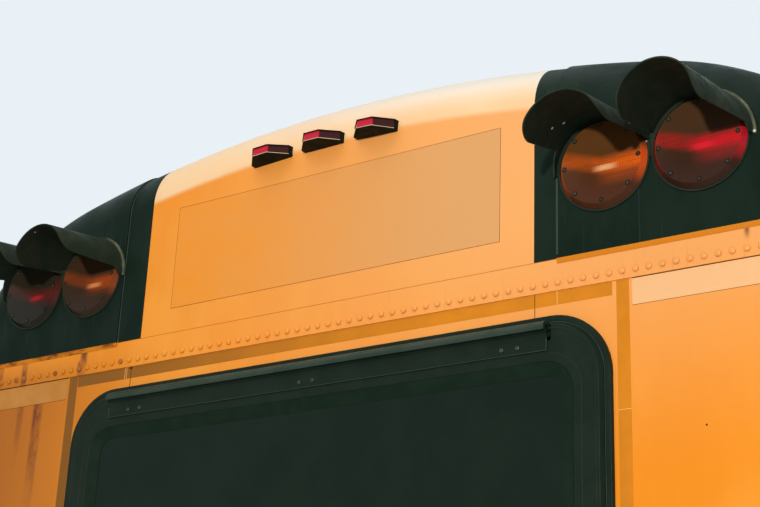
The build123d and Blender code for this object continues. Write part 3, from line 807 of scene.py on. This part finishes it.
@dataclass(frozen=True)
class Metal(Finish):
    """A plain metal or plated surface with fine scratches and a little tarnish."""

    colour: str
    tarnish: str
    rough: float
    metallic: float = 1.0

    def mix(self, paint: Palette) -> None:
        """Mix the metal."""
        body = paint.blend(self.colour, self.tarnish, paint.patches(12, 6), 0.6)
        scratches = paint.relief(paint.patches(0.8, 2, (14, 1, 1), (0.3, 0.7)), 0.03)
        rough = paint.level(paint.patches(18, 5), self.rough * 0.8, min(self.rough * 1.5, 1.0))
        paint.done({"Metallic": self.metallic}, body, rough, scratches)


@dataclass(frozen=True)
class Enamelled(Finish):
    """Sprayed enamel of one colour on aluminium or steel, wearing paler in patches, with painted light along
    X on some pieces.
    """

    colour: str
    wear_and_light_tone: str
    rough: float = 0.4
    gloss: float = 0.35
    painted_light_x: Corner = (5.0, 6.0)
    mottle: float = 0.5

    def mix(self, paint: Palette) -> None:
        """Mix the enamel, which turns to its paler tone between two given places along X, as painted light:
        shaded before them and lit past them.
        """
        body = paint.blend(self.colour, self.wear_and_light_tone, paint.patches(70, 5), self.mottle)
        # Painted light: between the two places along X the colour turns to the paler tone.
        body = paint.blend(body, self.wear_and_light_tone, paint.ramp("X", *self.painted_light_x))
        rough = paint.level(paint.patches(22, 5), self.rough - 0.07, self.rough + 0.1)
        paint.done({"Specular IOR Level": self.gloss}, body, rough, paint.grain(4, 0.05))


@dataclass(frozen=True)
class TintedGlass(Finish):
    """Dark green tinted safety glass: a hard clear gloss with a thin film of dust."""

    name: str = "tinted_glass"
    colour: str = "0E2016"
    dust: str = "26362B"

    def mix(self, paint: Palette) -> None:
        """Mix the glass."""
        # A breath of dust, so that the pane reads as a surface and not as a gap.
        body = paint.blend(self.colour, self.dust, paint.patches(160, 4), 0.12)
        look = {"IOR": 1.52, "Transmission Weight": 0.15, "Specular IOR Level": 0.04}
        paint.done(look, body, paint.level(paint.patches(120, 4), 0.04, 0.1))


@dataclass(frozen=True)
class Reflective(Finish):
    """Retroreflective sheeting: amber film over tiny cells, drawn twice as coarse so that they show."""

    colour: str
    cell: str
    shaded: str = "855619"
    cell_mm: float = 5.0

    def mix(self, paint: Palette) -> None:
        """Mix the sheeting."""
        look = {"feature": "DISTANCE_TO_EDGE", "Scale": 1000 / self.cell_mm, "Randomness": 0.0}
        cells = add_node(paint.tree, "ShaderNodeTexVoronoi", look, {"Vector": paint.spot})
        body = paint.blend(self.colour, self.cell, paint.ramp(cells.outputs["Distance"], 0.1, 0.02), 0.3)
        body = paint.blend(body, self.cell, paint.patches(90, 4), 0.2)
        # Painted shade: the tape is darker to the left.
        body = paint.blend(body, self.shaded, paint.ramp("X", 0.35, -0.75))
        gloss = {"Roughness": 0.35, "Specular IOR Level": 0.12, "Coat Weight": 0.05, "Coat Roughness": 0.1}
        paint.done(gloss, body)


@dataclass(frozen=True)
class Backdrop(Finish):
    """Matte studio paper: pale to the camera and in reflections, with the object's shadow kept."""

    name: str = "studio_floor"
    colour: str = "DDE3E6"
    faded: str = "D2D8DB"
    shown: str = "E9F1F6"
    own_light: float = 0.7

    def mix(self, paint: Palette) -> None:
        """Mix the floor: matte paper that looks pale by itself, and adds no light to the object."""
        body = paint.blend(self.colour, self.faded, paint.patches(900, 2), 0.2)
        plain = add_node(paint.tree, "ShaderNodeEmission", {"Color": linear(self.shown), "Strength": 1.0})
        share = paint.times(seen_directly(paint.tree), self.own_light)
        ends = {0: share, 1: paint.surface.outputs[0], 2: plain.outputs[0]}
        both = add_node(paint.tree, "ShaderNodeMixShader", links=ends)
        paint.tree.links.new(both.outputs[0], paint.end.inputs[0])
        paint.done({"Roughness": 0.9, "Specular IOR Level": 0.1}, body)


ORANGE = BusEnamel()
LAMP_FIELD = FieldBlack()
GASKET = Moulded("glazing_rubber", "14251B", "1B2C22", 0.5)
MARKER_BLACK = Moulded("marker_base_abs", "0C1812", "16211B")
DULL_SCREW = Metal("dull_screw", "4C5248", "2A2E28", 0.6, 0.5)
RUSTY = Metal("rusty_rivet", "B06A26", "7A4418", 0.7, 0.0)
WINDOW_BLACK = Enamelled("window_frame_enamel", "18251D", "202D25", 0.36, 0.06)
# The hinge rail is the frame's black enamel painted lighter and greener, as a painted highlight.
HIGHLIGHT_HINGE_ENAMEL = Enamelled("hinge_rail_highlight_enamel", "2A3B31", "3A463B", 0.36, 0.1)
# Painted highlight along the window ring's and the hinge leaf's edges.
EDGE_HIGHLIGHT_PAINT = Enamelled("painted_window_edge_highlight", "3F4C45", "2D3933", 0.4, 0.2)
FAINT_LINE = Enamelled("pressed_window_line", "24312A", "1E2A23", 0.4, 0.15)
PALE_LINE = Enamelled("marker_pale_line", "E9D9AE", "CDBB90", 0.6, 0.2)
# On the sign and the pale bands the colour turns along X: painted shade on the left, a painted sheen to the
# right.
SIGN_FILM = Enamelled("sign_film", "EE9630", "DCA468", 0.45, 0.2, (-0.4, 0.45), 0.12)
PALE_FILM = Enamelled("pale_film", "BE7E2A", "F2BE88", 0.4, 0.3, (-0.5, 0.75), 0.1)
# A dark line of dirt and painted shadow along the edges of films.
DIRT_AND_SHADE_LINE = Enamelled("edge_dirt_and_shade", "7A4716", "94571A", 0.8, 0.1)
CREASE = Enamelled("panel_crease", "B06C22", "C47A2C", 0.7, 0.1)
SEAM_SHADE = Enamelled("seam_shade", "3A2410", "56340F", 0.8, 0.1)
SEALANT = Enamelled("seam_sealant", "36423C", "28332D", 0.6, 0.2)
CHALKED_SEALANT = Enamelled("chalked_sealant", "38463E", "2C3932", 0.7, 0.1)
PALE_EDGE = Enamelled("tape_edge", "F4C070", "E8AC58", 0.5)
TAPE = Reflective("amber_reflective_tape", "EA921C", "A8661A")

SLOT_FINISHES: dict[str, Finish] = {
    "cap_paint": ORANGE,
    "lamp_panel_paint": LAMP_FIELD,
    "body_paint": ORANGE,
    "rail_paint": Enamelled("belt_rail_enamel", "141716", "242826", 0.45),
    "inner_paint": Enamelled("inner_enamel", "B9BDB6", "A3A69E", 0.5),
    "reflector": Metal("reflector_chrome", "D9D9D6", "B8B4AC", 0.12),
    "hood_black": Moulded("hood_abs", specks=True),
    "marker_base": MARKER_BLACK,
    "rubber_seal": Moulded("seal_rubber", "101814", "1A211D", 0.72),
    "window_black": WINDOW_BLACK,
    "window_glass": TintedGlass(),
    "latch_red": Enamelled("latch_enamel", "A3201A", "6E1612", 0.4),
    "strut_black": Enamelled("strut_enamel", "101111", "242626", 0.35),
    "strut_steel": Metal("polished_steel", "C4C6C8", "96948F", 0.22),
}


class PaintShop:
    """Makes each material once and hands it out again."""

    def __init__(self) -> None:
        """Start with no material mixed."""
        self.mixed: dict[str, bpy.types.Material] = {}

    def coat(self, piece: Piece, finish: Finish) -> None:
        """Give a piece one finish all over.

        Args:
            piece: The object to paint.
            finish: The finish, which knows its name and how to make its material.
        """
        if finish.name not in self.mixed:
            self.mixed[finish.name] = finish.make()
        piece.data.materials.clear()
        piece.data.materials.append(self.mixed[finish.name])


SHOP = PaintShop()


def mount(piece: Piece, finish: Finish, slot: str, *stands_for: str, body: Body = Body.SHELL) -> None:
    """Paint a piece, fix it to its body and hide the CAD nodes that it stands for.

    Args:
        piece: The finished piece.
        finish: Its finish.
        slot: The record's material slot; not used.
        stands_for: The CAD nodes that it replaces.
        body: The body that it rides on.
    """
    SHOP.coat(piece, finish)
    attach(piece, body.value)
    if stands_for:
        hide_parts(*stands_for)
    LOG.info("%s: %d faces", piece.name, len(piece.data.polygons))


@dataclass
class Skin:
    """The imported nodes, each redone as a merged, smooth-shaded copy with its own finish."""

    frame: dict
    by_node: dict[str, Finish]
    angle: float = 32.0

    def dress(self) -> None:
        """Copy every node and mount the copy in the node's place."""
        record = self.frame["record"]
        bodies = record["behaviour"]["bodies"]
        body_of = {node: Body(body) for body, nodes in bodies.items() for node in nodes}
        for part in record["subparts"]:
            node, slot = part["node"], part["material_slot"]
            finish = self.by_node.get(node) or SLOT_FINISHES[slot]
            mount(self.copy_of(node), finish, slot, node, body=body_of[node])

    def copy_of(self, node: str) -> Piece:
        """Copy a CAD node, merged and smooth-shaded.

        Args:
            node: The node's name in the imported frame.

        Returns:
            The copy, free of the node's parent and marks.
        """
        source = self.frame["nodes"][node]
        twin = source.copy()
        twin.data = source.data.copy()
        twin.parent = None
        for key in list(twin.keys()):
            del twin[key]
        bpy.context.scene.collection.objects.link(twin)
        twin.name = f"{node}_skin"
        pick(twin)
        bpy.ops.object.mode_set(mode="EDIT")
        bpy.ops.mesh.select_all(action="SELECT")
        bpy.ops.mesh.remove_doubles(threshold=0.01 * MM)
        bpy.ops.mesh.customdata_custom_splitnormals_clear()
        smooth(twin, self.angle)
        return twin


@dataclass
class RivetRow:
    """Domed rivets at one inch pitch along the flange, round both corners and along the sides."""

    pitch: float = 25.4 * MM
    right_start: float = 0.5226
    left_start: float = -0.5304
    middle_spaces: int = 41
    head_r: float = 6.2 * MM
    head_tall: float = 3.0 * MM
    level_z: float = 0.940
    rusty_runs: Sequence[float] = (0.955, 0.981, -0.533, -0.660, -0.736, -0.838, -0.864)

    def head(self) -> Piece:
        """Model one domed head with its seat at the origin."""
        deselect_all()
        bpy.ops.mesh.primitive_uv_sphere_add(segments=16, ring_count=12, radius=self.head_r)
        head = newest("rivet")
        select_faces(head, lambda face: face.calc_center_median().z < 0)
        bpy.ops.mesh.delete(type="FACE")
        bpy.ops.mesh.select_all(action="SELECT")
        bpy.ops.transform.resize(value=(1.0, 1.0, self.head_tall / self.head_r))
        bpy.ops.mesh.region_to_loop()
        bpy.ops.mesh.edge_face_add()
        bpy.ops.mesh.select_all(action="SELECT")
        bpy.ops.mesh.normals_make_consistent(inside=False)
        smooth(head, 60)
        return head

    def build(self) -> None:
        """Set the whole row, with the rusty rivets as a piece of their own."""
        line = FORM.level_line(self.level_z)
        length = sum((b[0] - a[0]).length for a, b in zip(line, line[1:]))
        # Each corner cap was drilled from its own seam, so the middle cap's spaces come out a little wider.
        span = self.right_start - self.left_start
        runs = [self.left_start + span * step / self.middle_spaces for step in range(1, self.middle_spaces)]
        for start, side in ((self.left_start, -1), (self.right_start, 1)):
            count = int((length - abs(start)) / self.pitch)
            runs += [start + side * self.pitch * step for step in range(count)]
        rusty = {min(runs, key=lambda run: abs(run - spot)) for spot in self.rusty_runs}
        clean = [run for run in runs if run not in rusty]
        for name, spots, finish in (("flange", clean, ORANGE), ("rusty", sorted(rusty), RUSTY)):
            places = [facing(*FORM.along(line, run)) for run in spots]
            mount(copies(self.head(), places, f"{name}_rivets"), finish, "body_paint")


@dataclass
class ScrewSet:
    """Small dull pan-head screws with a recess in the top."""

    head_r: float
    head_tall: float

    def head(self) -> Piece:
        """Model one screw head with its seat at the origin."""
        deselect_all()
        bpy.ops.mesh.primitive_cylinder_add(
            vertices=16, radius=self.head_r, depth=self.head_tall, location=(0, 0, self.head_tall / 2)
        )
        head = newest("screw")
        settle(head)
        select_faces(head, lambda face: face.normal.z > 0.9)
        for inset, lift in ((0.3, 0.12), (0.25, -0.3)):
            bpy.ops.mesh.inset(thickness=self.head_r * inset)
            bpy.ops.transform.translate(value=(0, 0, self.head_r * lift))
        smooth(head, 40)
        return head

    def build(self, places: Sequence[Matrix], body: Body, slot: str, name: str) -> None:
        """Set screws at places and mount them as one piece.

        Args:
            places: One matrix for each screw.
            body: The body that they ride on.
            slot: The record's material slot.
            name: The piece's name.
        """
        mount(copies(self.head(), places, name), DULL_SCREW, slot, body=body)


@dataclass
class WarningLamp:
    """One round warning lamp: a fluted face on the lens, and the screws in their wells round its edge."""

    name: str
    finish: LensAcrylic
    slot: str
    face_r: float = 79.0 * MM
    face_y: float = -17.0 * MM
    face_thick: float = 0.6 * MM
    flute_pitch: float = 9.0 * MM
    flute_deep: float = 0.12 * MM
    steps_across: int = 24
    steps_up: int = 84
    screw_ring: float = 73.5 * MM
    screw_count: int = 8
    well_r: float = 3.6 * MM
    well_edge: float = 0.9 * MM

    def fluted_face(self) -> Piece:
        """Model the face as a round sheet with level flutes that die out at its edge."""
        rows = []
        for row in range(self.steps_up + 1):
            height = -self.face_r * math.cos(math.pi * row / self.steps_up)
            reach = math.sqrt(max(self.face_r**2 - height**2, 1e-8))
            edge = min(1.0, (self.face_r - abs(height)) / (6 * MM))
            wave = 0.5 - 0.5 * math.cos(2 * math.pi * height / self.flute_pitch)
            lift = self.flute_deep * wave * edge
            line = []
            for step in range(self.steps_across + 1):
                side = math.sin(math.pi * (step / self.steps_across - 0.5))
                inward = min(1.0, (1 - abs(side)) * reach / (5 * MM))
                x, z = self.finish.x + reach * side, self.finish.z + height
                line.append((x, self.face_y - lift * inward, z))
            rows.append(line)
        return film(rows, self.face_thick, f"{self.name}_flutes")

    def build(self) -> None:
        """Mount the fluted face and its screws."""
        mount(self.fluted_face(), self.finish, self.slot)
        screws, wells = [], []
        for step in range(self.screw_count):
            turn = 2 * math.pi * step / self.screw_count
            x = self.finish.x + self.screw_ring * math.cos(turn)
            z = self.finish.z + self.screw_ring * math.sin(turn)
            seat_y = self.face_y - self.face_thick
            screws.append(facing((x, seat_y, z), (0, -1, 0), turn))
            wells.append(facing((x, seat_y - 0.1 * MM, z), (0, -1, 0)))
        ScrewSet(2.8 * MM, 1.0 * MM).build(screws, Body.SHELL, self.slot, f"{self.name}_screws")
        deselect_all()
        bpy.ops.mesh.primitive_torus_add(
            major_radius=self.well_r, minor_radius=self.well_edge, major_segments=20, minor_segments=8
        )
        mount(copies(newest("well"), wells, f"{self.name}_wells"), MARKER_BLACK, self.slot)


@dataclass
class SkinFilms:
    """The films stuck on the skin: blank sign, amber tape round the window, and pale side bands."""

    sign: Box = (1.0414, 1.2764, -0.3955, 0.4255)
    sign_steps: int = 40
    tape: float = 25.4 * MM
    tape_in_x: float = 0.6605
    tape_top_z: float = 0.9245
    tape_end_x: float = 0.6535
    tape_gap: float = 1 * MM
    top_joints: Sequence[float] = (0.5445, -0.5115, -0.5165)
    side_joint_z: float = 0.6905
    seam_head_z: float = 0.880
    seam_foot_z: Corner = (0.102, 0.228)
    nick: Box = (0.9200, 0.9240, -0.5035, -0.4955)
    speck: Box = (0.6465, 0.6495, 0.8175, 0.8205)
    band_low_z: float = 0.875
    band_ends: Corner = (0.692, 1.52)
    field_ends: Sequence[tuple] = (("left", -0.5457, -0.477), ("right", WALL_SEAM_X, 0.5457))
    film_thick: float = 0.35 * MM
    edge: float = 1.1 * MM

    def lay(
        self, name: str, finish: Finish, box: Box, outset: float = WALL_OUTSET, slot: str = "body_paint"
    ) -> None:
        """Lay a film on the skin and mount it.

        Args:
            name: The piece's name.
            finish: Its finish.
            box: Its lower and upper edge and its two ends along the skin.
            outset: How far the skin under it stands off the middle cap's skin.
            slot: The record's material slot.
        """
        mount(FORM.band(box, outset, self.film_thick, name), finish, slot)

    def lay_sign(self) -> None:
        """Lay the blank sign and the dark line along its edges: dirt, and painted shadow at the film's edge.
        """
        *heights, left, right = self.sign
        spots = [left + (right - left) * step / self.sign_steps for step in range(self.sign_steps + 1)]
        rows = [[(x, 0.0, height) for x in spots] for height in heights]
        mount(film(rows, self.film_thick, "sign_blank"), SIGN_FILM, "cap_paint")
        low, high = ([(x, -self.film_thick / 2, z) for x, _, z in (row[0], row[-1])] for row in rows)
        rim = wire([*low, *reversed(high)], self.edge / 2, "sign_edge", closed=True)
        mount(rim, DIRT_AND_SHADE_LINE, "cap_paint")

    def lay_tapes(self) -> None:
        """Lay the amber tape round the window, with the gaps at its joints."""
        low = WINDOW_FOOT_Z - 14 * MM - self.tape
        tall, wide = self.tape_top_z - self.tape, self.tape_in_x
        inner, outer = wide + self.tape_gap, wide + self.tape
        self.lay("tape_top", TAPE, (tall, self.tape_top_z, self.tape_gap - wide, self.tape_end_x))
        self.lay("tape_foot", TAPE, (low, low + self.tape, -wide, wide))
        self.lay("tape_left", TAPE, (low, self.tape_top_z, -outer, -inner))
        self.lay("tape_right", TAPE, (low, self.tape_top_z, inner, outer))
        on_tape = WALL_OUTSET + self.film_thick
        box = (self.side_joint_z, self.side_joint_z + self.edge, inner, outer)
        self.lay("tape_joint_right", PALE_EDGE, box, on_tape)
        for count, spot in enumerate(self.top_joints):
            box = (tall, self.tape_top_z, spot, spot + self.edge)
            self.lay(f"tape_joint_top_{count}", PALE_EDGE, box, on_tape)

    def draw_lines(self) -> None:
        """Draw the fine lines: seams between the panels, painted shade under the flange, and a dark line at
        the cap's foot.
        """
        on_tape = WALL_OUTSET + self.film_thick
        low = self.band_low_z
        for name, side in (("left", -1), ("right", 1)):
            seam = (side * WALL_SEAM_X, side * WALL_SEAM_X + self.edge)
            self.lay(f"seam_head_{name}", SEAM_SHADE, (self.seam_head_z, FLANGE_FOOT_Z, *seam), on_tape)
            self.lay(f"seam_foot_{name}", SEAM_SHADE, (*self.seam_foot_z, *seam))
            ends = sorted(side * end for end in self.band_ends)
            self.lay(f"pale_band_{name}", PALE_FILM, (low, self.tape_top_z - self.tape_gap, *ends))
            # A dark line of dirt and painted shade along the band's lower edge.
            self.lay(f"band_edge_{name}", DIRT_AND_SHADE_LINE, (low - 0.5 * MM, low + 0.2 * MM, *ends))
            # Painted shadow under the flange's foot.
            self.lay(f"flange_shade_{name}", SEAM_SHADE, (FLANGE_FOOT_Z - 1.2 * MM, FLANGE_FOOT_Z, *ends))
        crease = (CAP_FOOT_Z, CAP_FOOT_Z + 0.8 * MM, -LAMP_SEAM_X, LAMP_SEAM_X)
        self.lay("cap_seam", CREASE, crease, 0.0, "cap_paint")
        self.lay("seam_nick", SEAM_SHADE, self.nick, on_tape)
        self.lay("wall_spot", SEAM_SHADE, self.speck)

    def carry_fields(self) -> None:
        """Carry the lamp panels' black over the middle cap's edges, up the face and over the roll."""
        foot_z = CAP_FOOT_Z + 0.9 * MM
        for name, inner, outer in self.field_ends:
            lines = [FORM.over_roll(inner + (outer - inner) * step / 3, foot_z) for step in range(4)]
            mount(film(list(zip(*lines)), 0.12 * MM, f"field_edge_{name}"), LAMP_FIELD, "cap_paint")

    def build(self) -> None:
        """Lay every film."""
        self.carry_fields()
        self.lay_sign()
        self.lay_tapes()
        self.draw_lines()


@dataclass
class WindowTrim:
    """Trim of the emergency window: hinge screws, glass bead, pressed lines and painted highlights along the
    frame's edges.
    """

    half_wide: float = 0.653
    top_z: float = 0.878
    corner_r: float = 0.118
    glass_top_z: float = 0.790
    sash_y: float = -14.0 * MM
    leaf_y: float = -17.0 * MM
    screw_z: float = 0.822
    screw_x: Sequence[float] = (-0.459, 0.0, 0.459)
    screw_gap: float = 33.0 * MM
    leaf_half: float = 0.5335
    leaf_foot_z: float = 0.8104
    leaf_head_z: float = 0.832

    def loop(self, inset: float, y: float, top: float, corner: float) -> list[Place]:
        """Return a rounded rectangle of points, inset from the window's outline.

        Args:
            inset: How far inside the outline it runs.
            y: Its depth.
            top: The height of its upper side.
            corner: Its corners' radius.

        Returns:
            The loop's points, from the upper right corner round to the upper left one.
        """
        wide, low, high = self.half_wide - inset - corner, WINDOW_FOOT_Z + inset + corner, top - corner
        points = []
        for x, z, start in ((wide, high, 90), (wide, low, 0), (-wide, low, -90), (-wide, high, -180)):
            for step in range(13):
                turn = math.radians(start - 7.5 * step)
                points.append((x + corner * math.cos(turn), y, z + corner * math.sin(turn)))
        return points

    def build(self) -> None:
        """Mount the trim."""
        outer = self.loop(0.0695, -13.2 * MM, self.glass_top_z + 0.5 * MM, 0.0555)
        inner = self.loop(0.0930, -3.4 * MM, self.glass_top_z - 23 * MM, 0.0320)
        bead = film([[*inner, inner[0]], [*outer, outer[0]]], 0.3 * MM, "glazing_gasket")
        mount(bead, GASKET, "rubber_seal", body=Body.WINDOW)
        for name, inset, radius, top, finish in (
            ("sash_step", 0.027, 2.2 * MM, self.top_z - 0.027, WINDOW_BLACK),
            ("sash_inner_line", 0.0525, 0.5 * MM, self.glass_top_z + 0.015, FAINT_LINE),
        ):
            points = self.loop(inset, self.sash_y + radius * 0.7, top, self.corner_r - inset)
            mount(wire(points, radius, name), finish, "window_black", body=Body.WINDOW)
        outer = self.loop(0.0137, -6.0 * MM, self.top_z - 0.0137, 0.1043)
        inner = self.loop(0.0195, -13.2 * MM, self.top_z - 0.0195, 0.0985)
        mount(film([inner, outer], 0.3 * MM, "edge_seal"), GASKET, "rubber_seal", body=Body.WINDOW)
        # A painted highlight along the ring's rounded outer edge.
        ring = self.loop(0.0125, -4.4 * MM, self.top_z - 0.0125, 0.1055)
        mount(wire(ring, 0.8 * MM, "ring_edge", closed=True), EDGE_HIGHLIGHT_PAINT, "window_black")
        # A painted highlight along the hinge leaf's edges.
        turns = ((-1, self.leaf_head_z), (-1, self.leaf_foot_z), (1, self.leaf_foot_z), (1, self.leaf_head_z))
        line = wire([(side * self.leaf_half, self.leaf_y, z) for side, z in turns], 0.7 * MM, "leaf_edge")
        mount(line, EDGE_HIGHLIGHT_PAINT, "window_black", body=Body.WINDOW)
        pairs = [
            facing((x + side * self.screw_gap / 2, self.leaf_y, self.screw_z), (0, -1, 0), x * 7 + side)
            for x in self.screw_x
            for side in (-1, 1)
        ]
        ScrewSet(4.0 * MM, 1.8 * MM).build(pairs, Body.WINDOW, "window_black", "hinge_screws")


@dataclass
class MarkerLines:
    """The pale line along the foot of each marker lamp's lens, where it stands on its shelf."""

    half_long: float = 50 * MM
    half_face: float = 19 * MM
    front_y: float = -50 * MM
    end_y: float = -14 * MM
    drop: float = 5.2 * MM
    rake: float = 0.06

    def build(self) -> None:
        """Lay one line on each marker lamp of the crown."""
        crown = FORM.crown_r - FORM.roll_r
        corners = [(-self.half_long, self.end_y), (-self.half_face, self.front_y)]
        corners += [(-x, y) for x, y in reversed(corners)]
        for count in range(3):
            turn = (count - 1) * MARKER_PITCH / crown
            side, up = math.sin(turn), math.cos(turn)
            points = []
            for x, y in corners:
                out = crown - self.drop + self.rake * y
                points.append((out * side + x * up, y, FORM.crown_z + out * up - x * side))
            mount(wire(points, 0.6 * MM, f"marker_line_{count}"), PALE_LINE, "marker_base")


@dataclass
class PanelSeams:
    """Beads of sealant along the edges of the two lamp panels."""

    seam_x: float = 0.5462
    low_z: float = 0.990
    smear_top: float = 1.145
    bead_r: float = 1.3 * MM
    panel_out: float = 4 * MM

    def build(self) -> None:
        """Lay a bead up each panel's edge and over the roll."""
        for name, side in (("left", -1), ("right", 1)):
            bead = wire(FORM.over_roll(side * self.seam_x, self.low_z), self.bead_r, f"seam_bead_{name}")
            mount(bead, SEALANT, "cap_paint")
        # On the right the sealant has spread onto the panel's face and chalked.
        box = (self.low_z + 2 * MM, self.smear_top, self.seam_x + 0.5 * MM, self.seam_x + 4.5 * MM)
        mount(FORM.band(box, self.panel_out, 0.2 * MM, "seam_smear_right"), CHALKED_SEALANT, "cap_paint")


@dataclass
class Studio:
    """Pale floor, soft lamps and the camera at the photograph's place, low on the floor."""

    eye: Place = (1.7434, -2.2349, 0.025)
    yaw: float = 35.43
    pitch: float = 20.82
    roll: float = 2.417
    lens: float = 70.508
    floor_size: float = 190.0
    sky_light: float = 0.37

    def camera(self) -> None:
        """Stand the camera where the photograph was taken from."""
        # From looking straight down: round by the yaw, up to the horizon and past it, then the roll.
        turns = ((self.yaw, "Z"), (90 + self.pitch, "X"), (self.roll, "Z"))
        yaw, tilt, roll = (Matrix.Rotation(math.radians(turn), 3, axis) for turn, axis in turns)
        deselect_all()
        bpy.ops.object.camera_add(location=self.eye)
        camera = newest("photo_camera")
        camera.rotation_euler = (yaw @ tilt @ roll).to_euler()
        camera.data.lens = self.lens
        camera.data.sensor_width = 36.0
        camera.data.clip_end = 100.0
        bpy.context.scene.camera = camera

    def lamp(self, name: str, spot: Place, aim: Place, size: float, power: float, colour: str) -> Piece:
        """Hang one soft lamp.

        Args:
            name: The lamp's name.
            spot: Where it hangs.
            aim: What it points at.
            size: Its width in metres.
            power: Its power in watts.
            colour: Its colour as hex.

        Returns:
            The lamp.
        """
        deselect_all()
        bpy.ops.object.light_add(type="AREA", location=spot)
        lamp = newest(name)
        lamp.data.size = size
        lamp.data.energy = power
        lamp.data.color = linear(colour)[:3]
        lamp.rotation_euler = (Vector(aim) - Vector(spot)).to_track_quat("-Z", "Y").to_euler()
        return lamp

    def spare(self, floor: Piece, lamp: Piece) -> None:
        """Keep a low lamp off the floor, where it would leave a hot spot and a hard edge.

        Args:
            floor: The floor that stays unlit by it.
            lamp: The lamp.
        """
        deselect_all()
        floor.select_set(True)
        bpy.context.view_layer.objects.active = lamp
        bpy.ops.object.light_linking_receivers_link(link_state="EXCLUDE")

    def world(self) -> None:
        """Light the scene softly from all round, with a pale background to the camera."""
        world = bpy.data.worlds.new("soft_sky")
        bpy.context.scene.world = world
        world.use_nodes = True
        tree = world.node_tree
        tree.nodes.clear()
        sky = add_node(tree, "ShaderNodeBackground", {"Color": linear("EDEEEE"), "Strength": self.sky_light})
        plain = add_node(tree, "ShaderNodeBackground", {"Color": linear(Backdrop.shown), "Strength": 1.0})
        ends = {0: seen_directly(tree), 1: sky.outputs[0], 2: plain.outputs[0]}
        both = add_node(tree, "ShaderNodeMixShader", links=ends)
        add_node(tree, "ShaderNodeOutputWorld", links={0: both.outputs[0]})

    def build(self) -> None:
        """Set up floor, lamps, world and camera."""
        deselect_all()
        bpy.ops.mesh.primitive_plane_add(size=self.floor_size, location=(0, 0, -1 * MM))
        floor = newest("studio_floor")
        settle(floor)
        SHOP.coat(floor, Backdrop())
        floor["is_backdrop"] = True
        key = self.lamp("key_lamp", (2.35, -5.6, 1.12), (0.3, 0, 1.0), 0.25, 246.0, "FFF4E6")
        self.spare(floor, key)
        self.lamp("sky_lamp", (-0.3, -1.4, 4.6), (0, 0.1, 1.0), 4.5, 62.0, "FAFBFF")
        self.lamp("back_lamp", (0.0, 4.5, 3.0), (0, 0.2, 0.8), 3.0, 70.0, "FFFFFF")
        self.world()
        self.camera()
        bpy.context.scene.view_settings.view_transform = "Standard"


def corners() -> list[list[float]]:
    """Return the shown object's lowest and highest corner as plain lists."""
    return [list(corner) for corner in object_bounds()]


def warning_lamps() -> list[WarningLamp]:
    """Return the four warning lamps, each with a lens finish that knows where its lamp stands."""
    # Where the painted reflection sits: as drawn on the sunlit right lamps, shifted on the shaded left ones.
    sunny, shaded = (0.0, 0.0), (14 * MM, -9 * MM)
    # Columns: name, x, painted reflection offset, and the low, high, glow, hot spot and rim colours. The left
    # lamps are painted darker than the right ones: lit and shaded copies of one acrylic, as painted shade.
    table = (
        ("left_red", -OUTER_LAMP_X, shaded, "27251C", "322E22", "6A2622", "CC1C30", "5A2420"),
        ("left_amber", -INNER_LAMP_X, shaded, "3B2B1D", "453222", "BC5420", "F8A468", "8A4420"),
        ("right_amber", INNER_LAMP_X, sunny, "55301C", "64401F", "FA6C16", "FFC890", "DC5A24"),
        ("right_red", OUTER_LAMP_X, sunny, "3E271C", "503824", "E81628", "F0283C", "BE1E2C"),
    )
    lamps = []
    for name, x, image, *colours in table:
        finish = LensAcrylic(f"{name}_acrylic", *colours, x=x, image=image)
        lamps.append(WarningLamp(name, finish, f"{name.split('_')[1]}_lens"))
    return lamps


def main() -> None:
    """Load the frame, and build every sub-assembly in order."""
    logging.basicConfig(level=logging.INFO, format="%(message)s")
    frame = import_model()
    Studio().build()
    lamps = warning_lamps()
    by_node: dict[str, Finish] = {f"{lamp.name}_lens": lamp.finish for lamp in lamps}
    for name, x in (
        ("id_lamp_left", -MARKER_PITCH),
        ("id_lamp_center", 0.0),
        ("id_lamp_right", MARKER_PITCH),
        ("clearance_lamp_left", -CLEARANCE_X),
        ("clearance_lamp_right", CLEARANCE_X),
    ):
        by_node[f"{name}_lens"] = MarkerAcrylic(f"{name}_acrylic", x)
    # The hinge rail gets a lighter copy of the frame's enamel as a painted highlight.
    by_node["hinge_rail"] = HIGHLIGHT_HINGE_ENAMEL
    Skin(frame, by_node).dress()
    RivetRow().build()
    for lamp in lamps:
        lamp.build()
    SkinFilms().build()
    PanelSeams().build()
    MarkerLines().build()
    WindowTrim().build()


if __name__ == "__main__":
    main()
